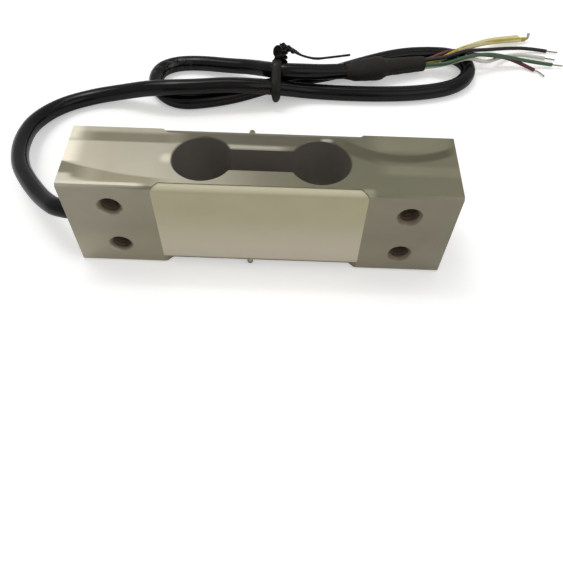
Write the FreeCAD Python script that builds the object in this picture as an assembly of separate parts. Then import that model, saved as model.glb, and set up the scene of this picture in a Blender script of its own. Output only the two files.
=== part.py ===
import FreeCAD, Part
import math
import os

# Single point load cell: a milled aluminium beam with a binocular opening, strain gauges under
# silicone seals, and a shielded cable that is folded, tied and stripped to its leads.
# Frame: millimetres. Origin at the middle of the beam's lowest face, +Z up, X along the beam.
# The cable leaves the -X end, and the beam's loading direction is Y.

# ---- beam ------------------------------------------------------------------------------------
BEAM_LENGTH = 100.0
BEAM_DEPTH = 22.0
BEAM_HEIGHT = 30.0
LONG_EDGE_BEVEL = 0.6

FLEXURE_THICKNESS = 1.2        # metal left between a bore and the recess floor beside it
BORE_SPACING = 30.0            # between the two flexure bores' axes
SLOT_WIDTH = 7.5               # the slot that joins the bores
OPENING_DEBURR = 0.25          # edge break round the bores and slot

RECESS_DEPTH = 2.0             # gauge recess in the front and rear faces
RECESS_REACH = 2.1             # how far the recess floor runs past each bore
RECESS_SHOULDER = 2.0          # length of each sloping shoulder

MOUNT_HOLE_INSET = 12.0        # hole axis from the end of the beam
MOUNT_HOLE_PITCH = 15.0        # between the two holes of one end
THREAD_DIAMETER = 6.0
THREAD_CORE_DIAMETER = 5.0
COUNTERSINK_DIAMETER = 6.6

# ---- cable entry and wire ways -----------------------------------------------------------------
CABLE_HOLE_DIAMETER = 6.4
CABLE_HOLE_DEPTH = 12.0
CABLE_ENTRY_OFFSET = 6.0       # the cable hole from the beam's middle, towards the front
CABLE_STUB = 3.5               # straight cable outside the beam
JACKET_SEAT_DEPTH = 7.0        # how far the jacket reaches into the beam
WIRE_WAY_DIAMETER = 4.8
WIRE_WAY_SETBACK = 5.0         # bend of the way from the end of the recess floor
WIRE_WAY_RUN = 7.0             # of its sloping end along X
LINK_HOLE_DIAMETER = 2.0
LINK_HOLE_WALL = 1.0           # between the link hole and the bore beside it
LINK_HOLE_RISE = 9.0           # over mid height
POTTING_BEAD = 0.8             # bead of potting that stands proud round the jacket
POTTING_BEAD_WIDTH = 1.2
POTTING_LIP = 0.6              # the bead's top round the jacket

# ---- gauges, boards and wires under the seals ---------------------------------------------------
CARRIER_LENGTH = 8.0
CARRIER_WIDTH = 5.6
CARRIER_THICKNESS = 0.12
FOIL_THICKNESS = 0.06
GRID_LINES = 8
GRID_LINE_WIDTH = 0.28
GRID_LINE_PITCH = 0.52
GRID_LENGTH = 4.2
FOIL_TAB = 1.3
BOARD_LENGTH = 12.0
FRONT_BOARD_HEIGHT = 14.0
REAR_BOARD_HEIGHT = 16.0
BOARD_THICKNESS = 0.7
PAD_INSET = 1.2                # solder joint from the board's edge
SOLDER_DIAMETER = 1.3
SOLDER_TOP_DIAMETER = 0.7
SOLDER_HEIGHT = 0.6
CHIP_LENGTH = 2.0
CHIP_WIDTH = 1.25
CHIP_HEIGHT = 0.55
CHIP_ROW = 2.5                 # each trimming resistor from mid height
JUMPER_DIAMETER = 0.3
LINK_WIRE_DIAMETER = 0.4
LINK_WIRE_PITCH = 0.55
LINK_PAD_PITCH = 2.0
LINK_WIRE_LIFT = 0.8           # of the wire's line over the recess floor
LINK_BEND_RADIUS = 0.6
CORE_DIAMETER = 0.9
CORE_PITCH = 1.15              # the four cores lie side by side in the wire way
CORE_LIFT = 1.25               # of the cores' line over the recess floor
CORE_ROW_INNER = 3.8           # the cores' solder joints above and below mid height
CORE_ROW_OUTER = 5.8
CORE_SPREAD_LENGTH = 6.0
GAUGE_ROW = 1.2                # the gauge wires' solder joints above and below mid height
WIRE_CLEARANCE = 0.05

# ---- seals ---------------------------------------------------------------------------------------
SEAL_TOP_INSET = 0.25          # from the beam's top face
SEAL_BOTTOM_INSET = 2.0        # the recess is left bare below the seal
SEAL_EDGE_RADIUS = 1.5
SEAL_NIB_RADIUS = 0.8          # bead left on each seal where it was filled
SEAL_NIB_X = -2.9

# ---- cable, sleeves and leads --------------------------------------------------------------------
CABLE_DIAMETER = 5.2
OUTER_SLEEVE_DIAMETER = 7.6
OUTER_SLEEVE_LAP = 5.0         # along the jacket
OUTER_SLEEVE_REACH = 9.2       # past the end of the jacket
INNER_SLEEVE_DIAMETER = 5.9
INNER_SLEEVE_BORE = 4.7
INNER_SLEEVE_END_DIAMETER = 5.3
LEAD_DIAMETER = 1.3
SHIELD_LEAD_DIAMETER = 1.6
LEAD_RING_RADIUS = 1.45        # the leads lie in a ring inside the sleeve
TIP_DIAMETER = 0.6

# ---- twist tie -----------------------------------------------------------------------------------
TIE_X = 1.8
TIE_WIDTH = 3.2
TIE_THICKNESS = 0.8
TIE_CLEARANCE = 0.25
TIE_SLACK = 0.9                # the band hangs this much loose under the front run
TIE_CORE_DIAMETER = 0.45
TIE_STEM_WIDTH = 3.2           # both ends of the tie, twisted together
TIE_STEM_THICKNESS = 1.7
TIE_STEM_TURN = 300.0          # degrees over the stem's length
TIE_STEM_SECTIONS = 7
TIE_CURL_RADIUS = 1.3          # of the short end, curled over beside the stem
TIE_CURL_TURN = 250.0
TIE_CURL_SHIFT = (-1.3, 0.2, 0.4)            # its axis from the stem's top

# Route of the cable after its straight stub, chosen by hand: round a wide loop to the table, along
# the beam, back under itself, round the left fold and through the tie to the sleeves.
CABLE_ROUTE = [
    (-60.2, -0.5, 12.2), (-67.2, 7.7, 10.2), (-73.7, 17.3, 8.2),
    (-77.1, 29, 6.2), (-77, 40.9, 4.2), (-71, 51.2, 2.8), (-60.5, 56.8, 2.7), (-50.3, 57.5, 4.4),
    (-41.7, 55.7, 7.5), (-33.8, 55.1, 8.7), (-24.9, 56, 8.6), (-14.9, 57.7, 8.5), (-6, 58.2, 8.1),
    (3, 60.6, 5.9), (13, 63.3, 2.8), (26, 63, 2.6), (40, 63.3, 2.6), (53, 64.8, 2.6),
    (64.3, 68.2, 2.6), (70.4, 74.1, 2.6), (71.9, 81.6, 2.6), (66.8, 87.5, 2.6), (57, 87.9, 2.6),
    (46, 86.2, 2.6), (33, 80.4, 2.6), (20.5, 73.6, 2.6), (9, 69.1, 3.8), (-2, 63.5, 3.8),
    (-12, 59.8, 2.6), (-22, 56.6, 2.6), (-31, 55.2, 2.6), (-37.5, 59.1, 2.6), (-41.1, 65.3, 2.6),
    (-40.6, 72.5, 2.6), (-35.1, 76.7, 2.6), (-25.9, 77.6, 2.6), (-15.9, 74.6, 4), (-6.5, 71.3, 6.1),
    (1.5, 64.7, 9.7), (9.5, 65.1, 9.5), (20.4, 68.2, 7.3), (31.4, 72, 5.8),
]

# Line of the sleeves past the jacket, and of the leads inside them.
SLEEVE_ROUTE = [(32, 72.22, 5.74), (41, 75.7, 4.7), (49.2, 78.5, 4.1), (56.6, 80.6, 3.6)]

# Routes of the leads after the sleeves, chosen by hand, and each lead's place in the ring.
LEAD_ROUTES = {
    "black_lead": (0, LEAD_DIAMETER, [
        (62.5, 79.6, 7.1), (69.5, 82.4, 8.5), (78, 88, 5.4), (88, 92.6, 2.9), (97, 95.4, 1.4),
        (104, 94.6, 0.9)]),
    "green_lead": (1, LEAD_DIAMETER, [
        (62.5, 78.2, 5.7), (70, 81.2, 7.5), (79, 83.3, 6.3), (88, 84.8, 4), (97, 85.7, 2),
        (104, 85.6, 1.3)]),
    "white_lead": (2, LEAD_DIAMETER, [
        (63, 78.9, 3.8), (71, 78.2, 6.5), (78.5, 82.1, 4.6), (85, 87.8, 2.9), (91.5, 91, 1.6),
        (97.5, 90.8, 1.1), (102.3, 90.1, 0.9)]),
    "shield_lead": (3, SHIELD_LEAD_DIAMETER, [
        (61.5, 81.3, 6.2), (67.3, 84, 8.5), (73.5, 89.6, 6.6), (81, 95.2, 3), (90, 99.2, 1.6),
        (97, 101.2, 1.2)]),
    "red_lead": (4, LEAD_DIAMETER, [
        (61, 84.1, 5.8), (66.5, 86.3, 6.5), (74, 88.2, 4.3), (81, 88.7, 1.8), (88, 87.2, 1.1),
        (93, 84.9, 0.9), (97, 82.6, 0.8)]),
}

# Offsets of each bare tip's points from the end of its lead.
TIP_ROUTES = {
    "black_tip": [(4.2, -0.5, -0.1)],
    "green_tip": [(4, -0.1, -0.3)],
    "white_tip": [(3.8, -0.7, -0.1)],
    "shield_tip": [(1.6, 0.5, 0.1), (2.2, 1.9, 1.4)],
    "red_tip": [(1.8, -1.05, -0.1), (3.0, -3.4, -0.1)],
}

# Twisted stem of the tie, from the band to where its two ends part.
TIE_STEM_START = (2, 67.7, 11.3)
TIE_STEM_END = (2.4, 73.2, 12.9)

# Long free end of the tie: its line, and how far its ribbon leans back from upright.
TIE_TAIL = [
    (1.8, 73.5, 12.4), (4.4, 75.6, 12.4), (7.6, 75.3, 11.1), (10.8, 74, 9.3), (15.2, 73.4, 8.4),
    (20.8, 74, 9.2), (27.2, 74.5, 9.9),
]
TIE_LEAN = math.radians(37.4)

# ---- values worked out from the sizes above ------------------------------------------------------
HALF_LENGTH = BEAM_LENGTH / 2
HALF_DEPTH = BEAM_DEPTH / 2
MID_HEIGHT = BEAM_HEIGHT / 2
FLOOR_Y = HALF_DEPTH - RECESS_DEPTH
MOUNT_HOLE_X = HALF_LENGTH - MOUNT_HOLE_INSET
BORE_X = BORE_SPACING / 2
BORE_RADIUS = FLOOR_Y - FLEXURE_THICKNESS
FLOOR_END = BORE_X + BORE_RADIUS + RECESS_REACH
CABLE_ENTRY_Y = -CABLE_ENTRY_OFFSET
CABLE_ENTRY_Z = MID_HEIGHT
JACKET_START_X = -HALF_LENGTH + JACKET_SEAT_DEPTH
LINK_HOLE_X = -BORE_X - BORE_RADIUS - LINK_HOLE_WALL - LINK_HOLE_DIAMETER / 2
LINK_HOLE_Z = MID_HEIGHT + LINK_HOLE_RISE
CORE_ROWS = (-CORE_ROW_OUTER, -CORE_ROW_INNER, CORE_ROW_INNER, CORE_ROW_OUTER)
GAUGE_ROWS = (-GAUGE_ROW, GAUGE_ROW)
PAD_X = BOARD_LENGTH / 2 - PAD_INSET
FRONT_LINK_Z = MID_HEIGHT + FRONT_BOARD_HEIGHT / 2 - PAD_INSET
REAR_LINK_Z = MID_HEIGHT + REAR_BOARD_HEIGHT / 2 - PAD_INSET
LINK_STEPS = (-1, 0, 1)        # the three link wires, counted from the middle one
THROUGH = 1.0                  # how far cutting tools run past the faces
TOUCH = 1e-6                   # sizes that differ by less are the same
FRONT, REAR = -1, 1
X_AXIS = FreeCAD.Vector(1, 0, 0)
Y_AXIS = FreeCAD.Vector(0, 1, 0)
Z_AXIS = FreeCAD.Vector(0, 0, 1)


def point(place):
    """A FreeCAD vector from three numbers."""
    return FreeCAD.Vector(*place)


def box(low, high):
    """A box between its lowest and highest corners."""
    size = point(high) - point(low)
    return Part.makeBox(size.x, size.y, size.z, point(low))


def cylinder(diameter, start, end):
    """A round bar between two points."""
    axis = point(end) - point(start)
    return Part.makeCylinder(diameter / 2, axis.Length, point(start), axis)


def fused(shapes):
    """One solid from pieces that meet, without the seams between them."""
    return shapes[0].fuse(shapes[1:]).removeSplitter()


def compound(shapes):
    return Part.makeCompound(shapes)


def path(places, tightest=None):
    """Straight runs joined by tangent arcs, as one wire, with the arcs' radii.

    An arc is as large as its runs allow, or no larger than tightest where that is given.
    """
    corners = [point(place) for place in places]
    edges, radii, start = [], [], corners[0]
    for before, corner, after in zip(corners, corners[1:], corners[2:]):
        run_in, run_out = corner - before, after - corner
        half_turn = math.tan(run_in.getAngle(run_out) / 2)
        radius = 0.45 * min(run_in.Length, run_out.Length) / half_turn
        if tightest is not None:
            radius = min(radius, tightest)
        reach = radius * half_turn
        entry = corner - run_in.normalize() * reach
        leave = corner + run_out.normalize() * reach
        inward = (entry + leave) * 0.5 - corner
        to_centre = math.hypot(radius, reach)
        middle = corner + inward.normalize() * (to_centre - radius)
        edges.append(Part.LineSegment(start, entry).toShape())
        edges.append(Part.Arc(entry, middle, leave).toShape())
        radii.append(radius)
        start = leave
    edges.append(Part.LineSegment(start, corners[-1]).toShape())
    return Part.Wire(edges), radii


def tube(places, diameter, tightest=None):
    """A round tube along a route, with its length and radii."""
    wire, radii = path(places, tightest)
    first_run = point(places[1]) - point(places[0])
    section = Part.Wire(Part.makeCircle(diameter / 2, point(places[0]), first_run))
    shape = wire.makePipeShell([section], True, False)
    return shape, wire.Length, radii


def cord(name, places, diameter):
    """A free cord: its tube, with its radii and volume printed."""
    shape, length, radii = tube(places, diameter)
    ratio = shape.Volume / (math.pi * diameter ** 2 / 4 * length)
    print(f"{name}: length {length:.1f}, volume over section x length {ratio:.4f}")
    print("   radii " + " ".join(f"{radius:.1f}" for radius in radii))
    return shape


# ---- the beam ------------------------------------------------------------------------------------
def recess(side):
    """The gauge recess of one face: a flat floor between two sloping shoulders."""
    outer_y = side * (HALF_DEPTH + THROUGH)
    floor_y = side * FLOOR_Y
    slope = RECESS_SHOULDER / RECESS_DEPTH
    outer_x = FLOOR_END + slope * (RECESS_DEPTH + THROUGH)
    outline = [(-FLOOR_END, floor_y), (FLOOR_END, floor_y), (outer_x, outer_y), (-outer_x, outer_y)]
    return prism(outline, -THROUGH, BEAM_HEIGHT + THROUGH)


def prism(outline, low, high):
    """An outline in the XY plane, raised from one height to another."""
    corners = [FreeCAD.Vector(x, y, low) for x, y in outline]
    face = Part.Face(Part.makePolygon(corners + corners[:1]))
    return face.extrude(FreeCAD.Vector(0, 0, high - low))


def binocular_opening():
    """The two flexure bores and the slot between them, right through the beam."""
    low, high = -THROUGH, BEAM_HEIGHT + THROUGH
    bores = [cylinder(2 * BORE_RADIUS, (x, 0, low), (x, 0, high)) for x in (-BORE_X, BORE_X)]
    slot = box((-BORE_X, -SLOT_WIDTH / 2, low), (BORE_X, SLOT_WIDTH / 2, high))
    return fused(bores + [slot])


def mount_hole_places():
    """X and Z of the four tapped holes."""
    for x in (-MOUNT_HOLE_X, MOUNT_HOLE_X):
        for z in (MID_HEIGHT - MOUNT_HOLE_PITCH / 2, MID_HEIGHT + MOUNT_HOLE_PITCH / 2):
            yield x, z


def tapped_hole(x, z):
    """A hole at the thread's core diameter, countersunk at both faces."""
    hole = cylinder(THREAD_CORE_DIAMETER, (x, -HALF_DEPTH, z), (x, HALF_DEPTH, z))
    sink = (COUNTERSINK_DIAMETER - THREAD_CORE_DIAMETER) / 2
    cones = [Part.makeCone(COUNTERSINK_DIAMETER / 2, THREAD_CORE_DIAMETER / 2, sink,
                           FreeCAD.Vector(x, side * HALF_DEPTH, z), Y_AXIS * -side)
             for side in (FRONT, REAR)]
    return fused([hole] + cones)


def wire_way_line():
    """Start, bend and end of the way that brings the cores to the front recess."""
    seat = FreeCAD.Vector(-HALF_LENGTH + CABLE_HOLE_DEPTH, CABLE_ENTRY_Y, CABLE_ENTRY_Z)
    bend = FreeCAD.Vector(-FLOOR_END - WIRE_WAY_SETBACK, CABLE_ENTRY_Y, CABLE_ENTRY_Z)
    end = FreeCAD.Vector(bend.x + WIRE_WAY_RUN, -FLOOR_Y - CORE_LIFT, CABLE_ENTRY_Z)
    return seat, bend, end


def cable_passage():
    """The cable hole in the end face and the wire way behind it."""
    seat, bend, end = wire_way_line()
    mouth = (-HALF_LENGTH - THROUGH, CABLE_ENTRY_Y, CABLE_ENTRY_Z)
    beyond = end + (end - bend).normalize() * WIRE_WAY_DIAMETER / 2
    hole = cylinder(CABLE_HOLE_DIAMETER, mouth, seat)
    straight = cylinder(WIRE_WAY_DIAMETER, seat, bend)
    elbow = Part.makeSphere(WIRE_WAY_DIAMETER / 2, bend)
    sloping = cylinder(WIRE_WAY_DIAMETER, bend, beyond)
    return fused([hole, straight, elbow, sloping])


def link_hole():
    """The hole that takes the rear gauges' wires through to the front."""
    return cylinder(LINK_HOLE_DIAMETER, (LINK_HOLE_X, -HALF_DEPTH, LINK_HOLE_Z),
                    (LINK_HOLE_X, HALF_DEPTH, LINK_HOLE_Z))


def opening_rims(beam):
    """The edges of the binocular opening in the beam's two wide faces."""
    reach = BORE_X + BORE_RADIUS + TOUCH
    return [edge for edge in beam.Edges
            if edge.BoundBox.ZLength < TOUCH
            and abs(abs(edge.BoundBox.ZMin - MID_HEIGHT) - MID_HEIGHT) < TOUCH
            and edge.BoundBox.YMin > -BORE_RADIUS - TOUCH
            and edge.BoundBox.YMax < BORE_RADIUS + TOUCH
            and edge.BoundBox.XMin > -reach and edge.BoundBox.XMax < reach]


def spring_body():
    """The beam with its opening, recesses, holes and broken edges."""
    block = box((-HALF_LENGTH, -HALF_DEPTH, 0), (HALF_LENGTH, HALF_DEPTH, BEAM_HEIGHT))
    long_edges = [edge for edge in block.Edges if abs(edge.Length - BEAM_LENGTH) < TOUCH]
    block = block.makeChamfer(LONG_EDGE_BEVEL, long_edges).cut(binocular_opening())
    block = block.makeChamfer(OPENING_DEBURR, opening_rims(block))
    tools = [recess(FRONT), recess(REAR), cable_passage(), link_hole()]
    tools += [tapped_hole(x, z) for x, z in mount_hole_places()]
    for tool in tools:
        block = block.cut(tool)
    return block.removeSplitter()


# ---- gauges and boards ---------------------------------------------------------------------------
def slab(side, lift, thickness, x_range, z_range):
    """A flat piece lying on a recess floor, lifted off it by a given height."""
    near, far = side * (FLOOR_Y + lift), side * (FLOOR_Y + lift + thickness)
    return box((x_range[0], min(near, far), z_range[0]), (x_range[1], max(near, far), z_range[1]))


def gauge_carrier(side, x):
    """The polyimide film of one gauge, over the thin web beside a bore."""
    return slab(side, 0, CARRIER_THICKNESS, (x - CARRIER_LENGTH / 2, x + CARRIER_LENGTH / 2),
                (MID_HEIGHT - CARRIER_WIDTH / 2, MID_HEIGHT + CARRIER_WIDTH / 2))


def gauge_tab_places(x):
    """Middle of each solder tab of a gauge: on the side that faces the middle of the beam."""
    inward = -math.copysign(1, x)
    tab_x = x + inward * (CARRIER_LENGTH / 2 - FOIL_TAB)
    reach = (GRID_LINES - 1) * GRID_LINE_PITCH / 2
    return [(tab_x, MID_HEIGHT - reach), (tab_x, MID_HEIGHT + reach)]


def gauge_grid(side, x):
    """The etched foil: parallel lines joined at alternate ends, with a tab at each end."""
    inward = -math.copysign(1, x)
    tabs = gauge_tab_places(x)
    grid_x = x - inward * FOIL_TAB / 2
    ends = (grid_x - GRID_LENGTH / 2, grid_x + GRID_LENGTH / 2)
    near_end, far_end = (ends[1], ends[0]) if inward > 0 else ends
    pieces = []
    for line in range(GRID_LINES):
        z = MID_HEIGHT + (line - (GRID_LINES - 1) / 2) * GRID_LINE_PITCH
        low, high = z - GRID_LINE_WIDTH / 2, z + GRID_LINE_WIDTH / 2
        pieces.append(slab(side, CARRIER_THICKNESS, FOIL_THICKNESS, ends, (low, high)))
        if line < GRID_LINES - 1:
            end_x = far_end if line % 2 == 0 else near_end
            pieces.append(slab(side, CARRIER_THICKNESS, FOIL_THICKNESS,
                               (end_x - GRID_LINE_WIDTH, end_x + GRID_LINE_WIDTH),
                               (low, high + GRID_LINE_PITCH)))
    for tab_x, tab_z in tabs:
        reach = sorted((near_end, tab_x + inward * FOIL_TAB / 2))
        pieces.append(slab(side, CARRIER_THICKNESS, FOIL_THICKNESS, tuple(reach),
                           (tab_z - FOIL_TAB / 2, tab_z + FOIL_TAB / 2)))
    return fused(pieces)


def board(side, height):
    """A small terminal board glued to the middle of a recess floor."""
    return slab(side, 0, BOARD_THICKNESS, (-BOARD_LENGTH / 2, BOARD_LENGTH / 2),
                (MID_HEIGHT - height / 2, MID_HEIGHT + height / 2))


def solder_joint(side, x, z):
    """A cone of solder standing on a board."""
    base = FreeCAD.Vector(x, side * (FLOOR_Y + BOARD_THICKNESS), z)
    return Part.makeCone(SOLDER_DIAMETER / 2, SOLDER_TOP_DIAMETER / 2, SOLDER_HEIGHT, base,
                         Y_AXIS * side)


def chip_resistor(z):
    """A trimming resistor on the front board."""
    return slab(FRONT, BOARD_THICKNESS, CHIP_HEIGHT, (-CHIP_LENGTH / 2, CHIP_LENGTH / 2),
                (z - CHIP_WIDTH / 2, z + CHIP_WIDTH / 2))


# ---- wires under the seals -----------------------------------------------------------------------
def over_floor(side, lift, x, z):
    """A point at a height over a recess floor."""
    return (x, side * (FLOOR_Y + lift), z)


def gauge_jumpers(side):
    """Four enamelled wires, from the gauges' tabs to the board."""
    foil_top = CARRIER_THICKNESS + FOIL_THICKNESS
    tab_lift = foil_top + JUMPER_DIAMETER / 2 + WIRE_CLEARANCE
    pad_lift = BOARD_THICKNESS + SOLDER_HEIGHT / 2
    reach = SOLDER_DIAMETER / 2 + WIRE_CLEARANCE
    wires = []
    for x in (-BORE_X, BORE_X):
        outward = math.copysign(1, x)
        for (tab_x, tab_z), row in zip(gauge_tab_places(x), GAUGE_ROWS):
            pad = over_floor(side, pad_lift, outward * (PAD_X + reach), MID_HEIGHT + row)
            tab = over_floor(side, tab_lift, tab_x, tab_z)
            crest = over_floor(side, pad_lift + JUMPER_DIAMETER, (pad[0] + tab_x) / 2, tab_z)
            wires.append(tube([tab, crest, pad], JUMPER_DIAMETER)[0])
    return compound(wires)


def cable_cores():
    """The four cores, from the end of the jacket through the wire way to the front board."""
    seat, bend, end = wire_way_line()
    start_x = JACKET_START_X + WIRE_CLEARANCE
    pad_x = -PAD_X - SOLDER_DIAMETER / 2 - WIRE_CLEARANCE
    cores = []
    for place, row in enumerate(CORE_ROWS):
        z = CABLE_ENTRY_Z + (place - (len(CORE_ROWS) - 1) / 2) * CORE_PITCH
        lane = MID_HEIGHT + row
        route = [(start_x, bend.y, z), (bend.x, bend.y, z), (end.x, end.y, z),
                 (end.x + CORE_SPREAD_LENGTH, end.y, lane), (pad_x, end.y, lane)]
        cores.append(tube(route, CORE_DIAMETER)[0])
    return compound(cores)


def link_wires():
    """Three wires that join the rear board to the front one through the beam."""
    wires = []
    for step in LINK_STEPS:
        lane = LINK_HOLE_Z + step * LINK_WIRE_PITCH
        x = step * LINK_PAD_PITCH
        stub = SOLDER_DIAMETER / 2 + WIRE_CLEARANCE
        lift = LINK_WIRE_LIFT + LINK_WIRE_DIAMETER
        route = [over_floor(REAR, lift, x, REAR_LINK_Z + stub),
                 over_floor(REAR, LINK_WIRE_LIFT, x, lane),
                 over_floor(REAR, LINK_WIRE_LIFT, LINK_HOLE_X, lane),
                 over_floor(FRONT, LINK_WIRE_LIFT, LINK_HOLE_X, lane),
                 over_floor(FRONT, LINK_WIRE_LIFT, x, lane),
                 over_floor(FRONT, lift, x, FRONT_LINK_Z + stub)]
        wires.append(tube(route, LINK_WIRE_DIAMETER, LINK_BEND_RADIUS)[0])
    return compound(wires)


def solder_joints(side):
    """The joints of one board: gauge wires at its sides, link wires at its top, cores if any."""
    places = [(x, MID_HEIGHT + row) for x in (-PAD_X, PAD_X) for row in GAUGE_ROWS]
    link_z = FRONT_LINK_Z if side == FRONT else REAR_LINK_Z
    places += [(step * LINK_PAD_PITCH, link_z) for step in LINK_STEPS]
    if side == FRONT:
        places += [(-PAD_X, MID_HEIGHT + row) for row in CORE_ROWS]
    return compound([solder_joint(side, x, z) for x, z in places])


def cable_potting(cable, cores):
    """The compound that fills the cable hole round the jacket and cores, with an outer bead."""
    end_x = -HALF_LENGTH
    fill = cylinder(CABLE_HOLE_DIAMETER, (end_x, CABLE_ENTRY_Y, CABLE_ENTRY_Z),
                    (end_x + CABLE_HOLE_DEPTH, CABLE_ENTRY_Y, CABLE_ENTRY_Z))
    bead = Part.makeCone(CABLE_HOLE_DIAMETER / 2 + POTTING_BEAD_WIDTH, CABLE_DIAMETER / 2 + POTTING_LIP,
                         POTTING_BEAD, FreeCAD.Vector(end_x, CABLE_ENTRY_Y, CABLE_ENTRY_Z),
                         X_AXIS * -1)
    return fused([fill, bead]).cut(cable).cut(cores)


# ---- seals ---------------------------------------------------------------------------------------
def gauge_seal(side, sealed_in):
    """Silicone that fills one recess flush with the beam, but for its foot, round what lies in it."""
    outline = [(-FLOOR_END, side * FLOOR_Y), (FLOOR_END, side * FLOOR_Y),
               (FLOOR_END + RECESS_SHOULDER, side * HALF_DEPTH),
               (-FLOOR_END - RECESS_SHOULDER, side * HALF_DEPTH)]
    fill = prism(outline, SEAL_BOTTOM_INSET, BEAM_HEIGHT - SEAL_TOP_INSET)
    outer_edges = [edge for edge in fill.Edges
                   if abs(edge.BoundBox.YMin - side * HALF_DEPTH) < TOUCH
                   and abs(edge.BoundBox.YMax - side * HALF_DEPTH) < TOUCH
                   and edge.BoundBox.ZLength < TOUCH]
    fill = fill.makeFillet(SEAL_EDGE_RADIUS, outer_edges)
    if side == FRONT:
        nib_y = -HALF_DEPTH + SEAL_NIB_RADIUS / 2
        nib_z = SEAL_BOTTOM_INSET - SEAL_NIB_RADIUS / 2
    else:
        nib_y = HALF_DEPTH - SEAL_NIB_RADIUS
        nib_z = BEAM_HEIGHT - SEAL_TOP_INSET
    nib = Part.makeSphere(SEAL_NIB_RADIUS, FreeCAD.Vector(SEAL_NIB_X, nib_y, nib_z))
    return fused([fill, nib]).cut(sealed_in)


# ---- cable, sleeves and leads --------------------------------------------------------------------
def cable_places():
    """All points of the cable: its seat in the beam, its straight stub and its free route."""
    entry = [(x, CABLE_ENTRY_Y, CABLE_ENTRY_Z) for x in (JACKET_START_X, -HALF_LENGTH - CABLE_STUB)]
    return entry + CABLE_ROUTE


def sleeve_line():
    """Points of the sleeves' line, from where the outer sleeve starts on the jacket."""
    jacket_end, last_corner = point(CABLE_ROUTE[-1]), point(CABLE_ROUTE[-2])
    back = (last_corner - jacket_end).normalize()
    ahead = (point(SLEEVE_ROUTE[1]) - point(SLEEVE_ROUTE[0])).normalize()
    start = jacket_end + back * OUTER_SLEEVE_LAP
    end = point(SLEEVE_ROUTE[0]) + ahead * OUTER_SLEEVE_REACH
    return [tuple(start), tuple(point(SLEEVE_ROUTE[0])), tuple(end)]


def inner_sleeve():
    """The thin sleeve over the leads: straight at first, then drawn in towards its end."""
    wire, radii = path(SLEEVE_ROUTE)
    last_edge = wire.Edges[-1]
    start, end = last_edge.Vertexes[0].Point, last_edge.Vertexes[-1].Point
    along = end - start
    body = tube(SLEEVE_ROUTE, INNER_SLEEVE_DIAMETER)[0]
    trim = Part.makeCylinder(INNER_SLEEVE_DIAMETER, along.Length + THROUGH, start, along)
    cone = Part.makeCone(INNER_SLEEVE_DIAMETER / 2, INNER_SLEEVE_END_DIAMETER / 2,
                         along.Length, start, along)
    return fused([body.cut(trim), cone])


def ring_offset(place):
    """Offset in Y and Z of a lead's place in the ring."""
    angle = math.radians(90 + place * 360 / len(LEAD_ROUTES))
    return FreeCAD.Vector(0, LEAD_RING_RADIUS * math.cos(angle), LEAD_RING_RADIUS * math.sin(angle))


def lead_places(place, free_route):
    """A lead's points: inside the sleeve, then its free route."""
    return [tuple(point(step) + ring_offset(place)) for step in SLEEVE_ROUTE] + free_route


def tip(name, lead_end):
    """The bare strands past the end of a lead."""
    places = [lead_end] + [tuple(point(lead_end) + point(step)) for step in TIP_ROUTES[name]]
    if len(places) == 2:
        return cylinder(TIP_DIAMETER, places[0], places[1])
    return tube(places, TIP_DIAMETER)[0]


# ---- twist tie -----------------------------------------------------------------------------------
def cable_crossings():
    """The centres of the three cable runs that the tie holds: front, under and top."""
    line, radii = path(cable_places())
    reach = 2 * BEAM_LENGTH
    beyond = box((TIE_X, HALF_DEPTH, -reach), (reach, reach, reach))
    places = sorted((vertex.Point for vertex in line.section(beyond).Vertexes),
                    key=lambda place: place.y)
    front, *others = places
    under, top = sorted(others, key=lambda place: place.z)
    return front, under, top


def tie_band():
    """The closed band round the three runs, with a little slack below the front one."""
    front, under, top = cable_crossings()
    slack = front + FreeCAD.Vector(0, -TIE_SLACK, -TIE_SLACK)
    ring = Part.makePolygon([front, slack, under, top, front])
    inner = CABLE_DIAMETER / 2 + TIE_CLEARANCE
    outer_face = Part.Face(ring.makeOffset2D(inner + TIE_THICKNESS))
    inner_face = Part.Face(ring.makeOffset2D(inner))
    band = outer_face.cut(inner_face).extrude(X_AXIS * TIE_WIDTH)
    band.translate(X_AXIS * (-TIE_WIDTH / 2))
    return band


def tie_stem():
    """The two ends of the tie twisted together into one tapering bar."""
    start, end = point(TIE_STEM_START), point(TIE_STEM_END)
    along = end - start
    sections = []
    for step in range(TIE_STEM_SECTIONS):
        share = step / (TIE_STEM_SECTIONS - 1)
        width = TIE_STEM_WIDTH * (0.75 + 0.25 * math.sin(math.pi * share))
        half = FreeCAD.Vector(width / 2, TIE_STEM_THICKNESS / 2, 0)
        corners = [FreeCAD.Vector(x * half.x, y * half.y, 0)
                   for x, y in ((-1, -1), (1, -1), (1, 1), (-1, 1), (-1, -1))]
        section = Part.makePolygon(corners)
        section.rotate(FreeCAD.Vector(), Z_AXIS, TIE_STEM_TURN * share)
        section.Placement = (FreeCAD.Placement(start + along * share,
                                               FreeCAD.Rotation(Z_AXIS, along))
                             * section.Placement)
        sections.append(section)
    return Part.makeLoft(sections, True)


def tie_tail():
    """The long free end: a flat ribbon that stands on its edge."""
    wire, radii = path(TIE_TAIL)
    across = FreeCAD.Vector(0, -math.cos(TIE_LEAN), math.sin(TIE_LEAN))
    ahead = (point(TIE_TAIL[1]) - point(TIE_TAIL[0])).normalize()
    face_side = ahead.cross(across).normalize()
    start = point(TIE_TAIL[0])
    corners = [start + across * (w * TIE_WIDTH / 2) + face_side * (t * TIE_THICKNESS / 2)
               for w, t in ((-1, -1), (1, -1), (1, 1), (-1, 1), (-1, -1))]
    pipe = Part.BRepOffsetAPI.MakePipeShell(wire)
    pipe.setBiNormalMode(across)
    pipe.add(Part.makePolygon(corners))
    pipe.build()
    pipe.makeSolid()
    return pipe.shape()


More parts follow.
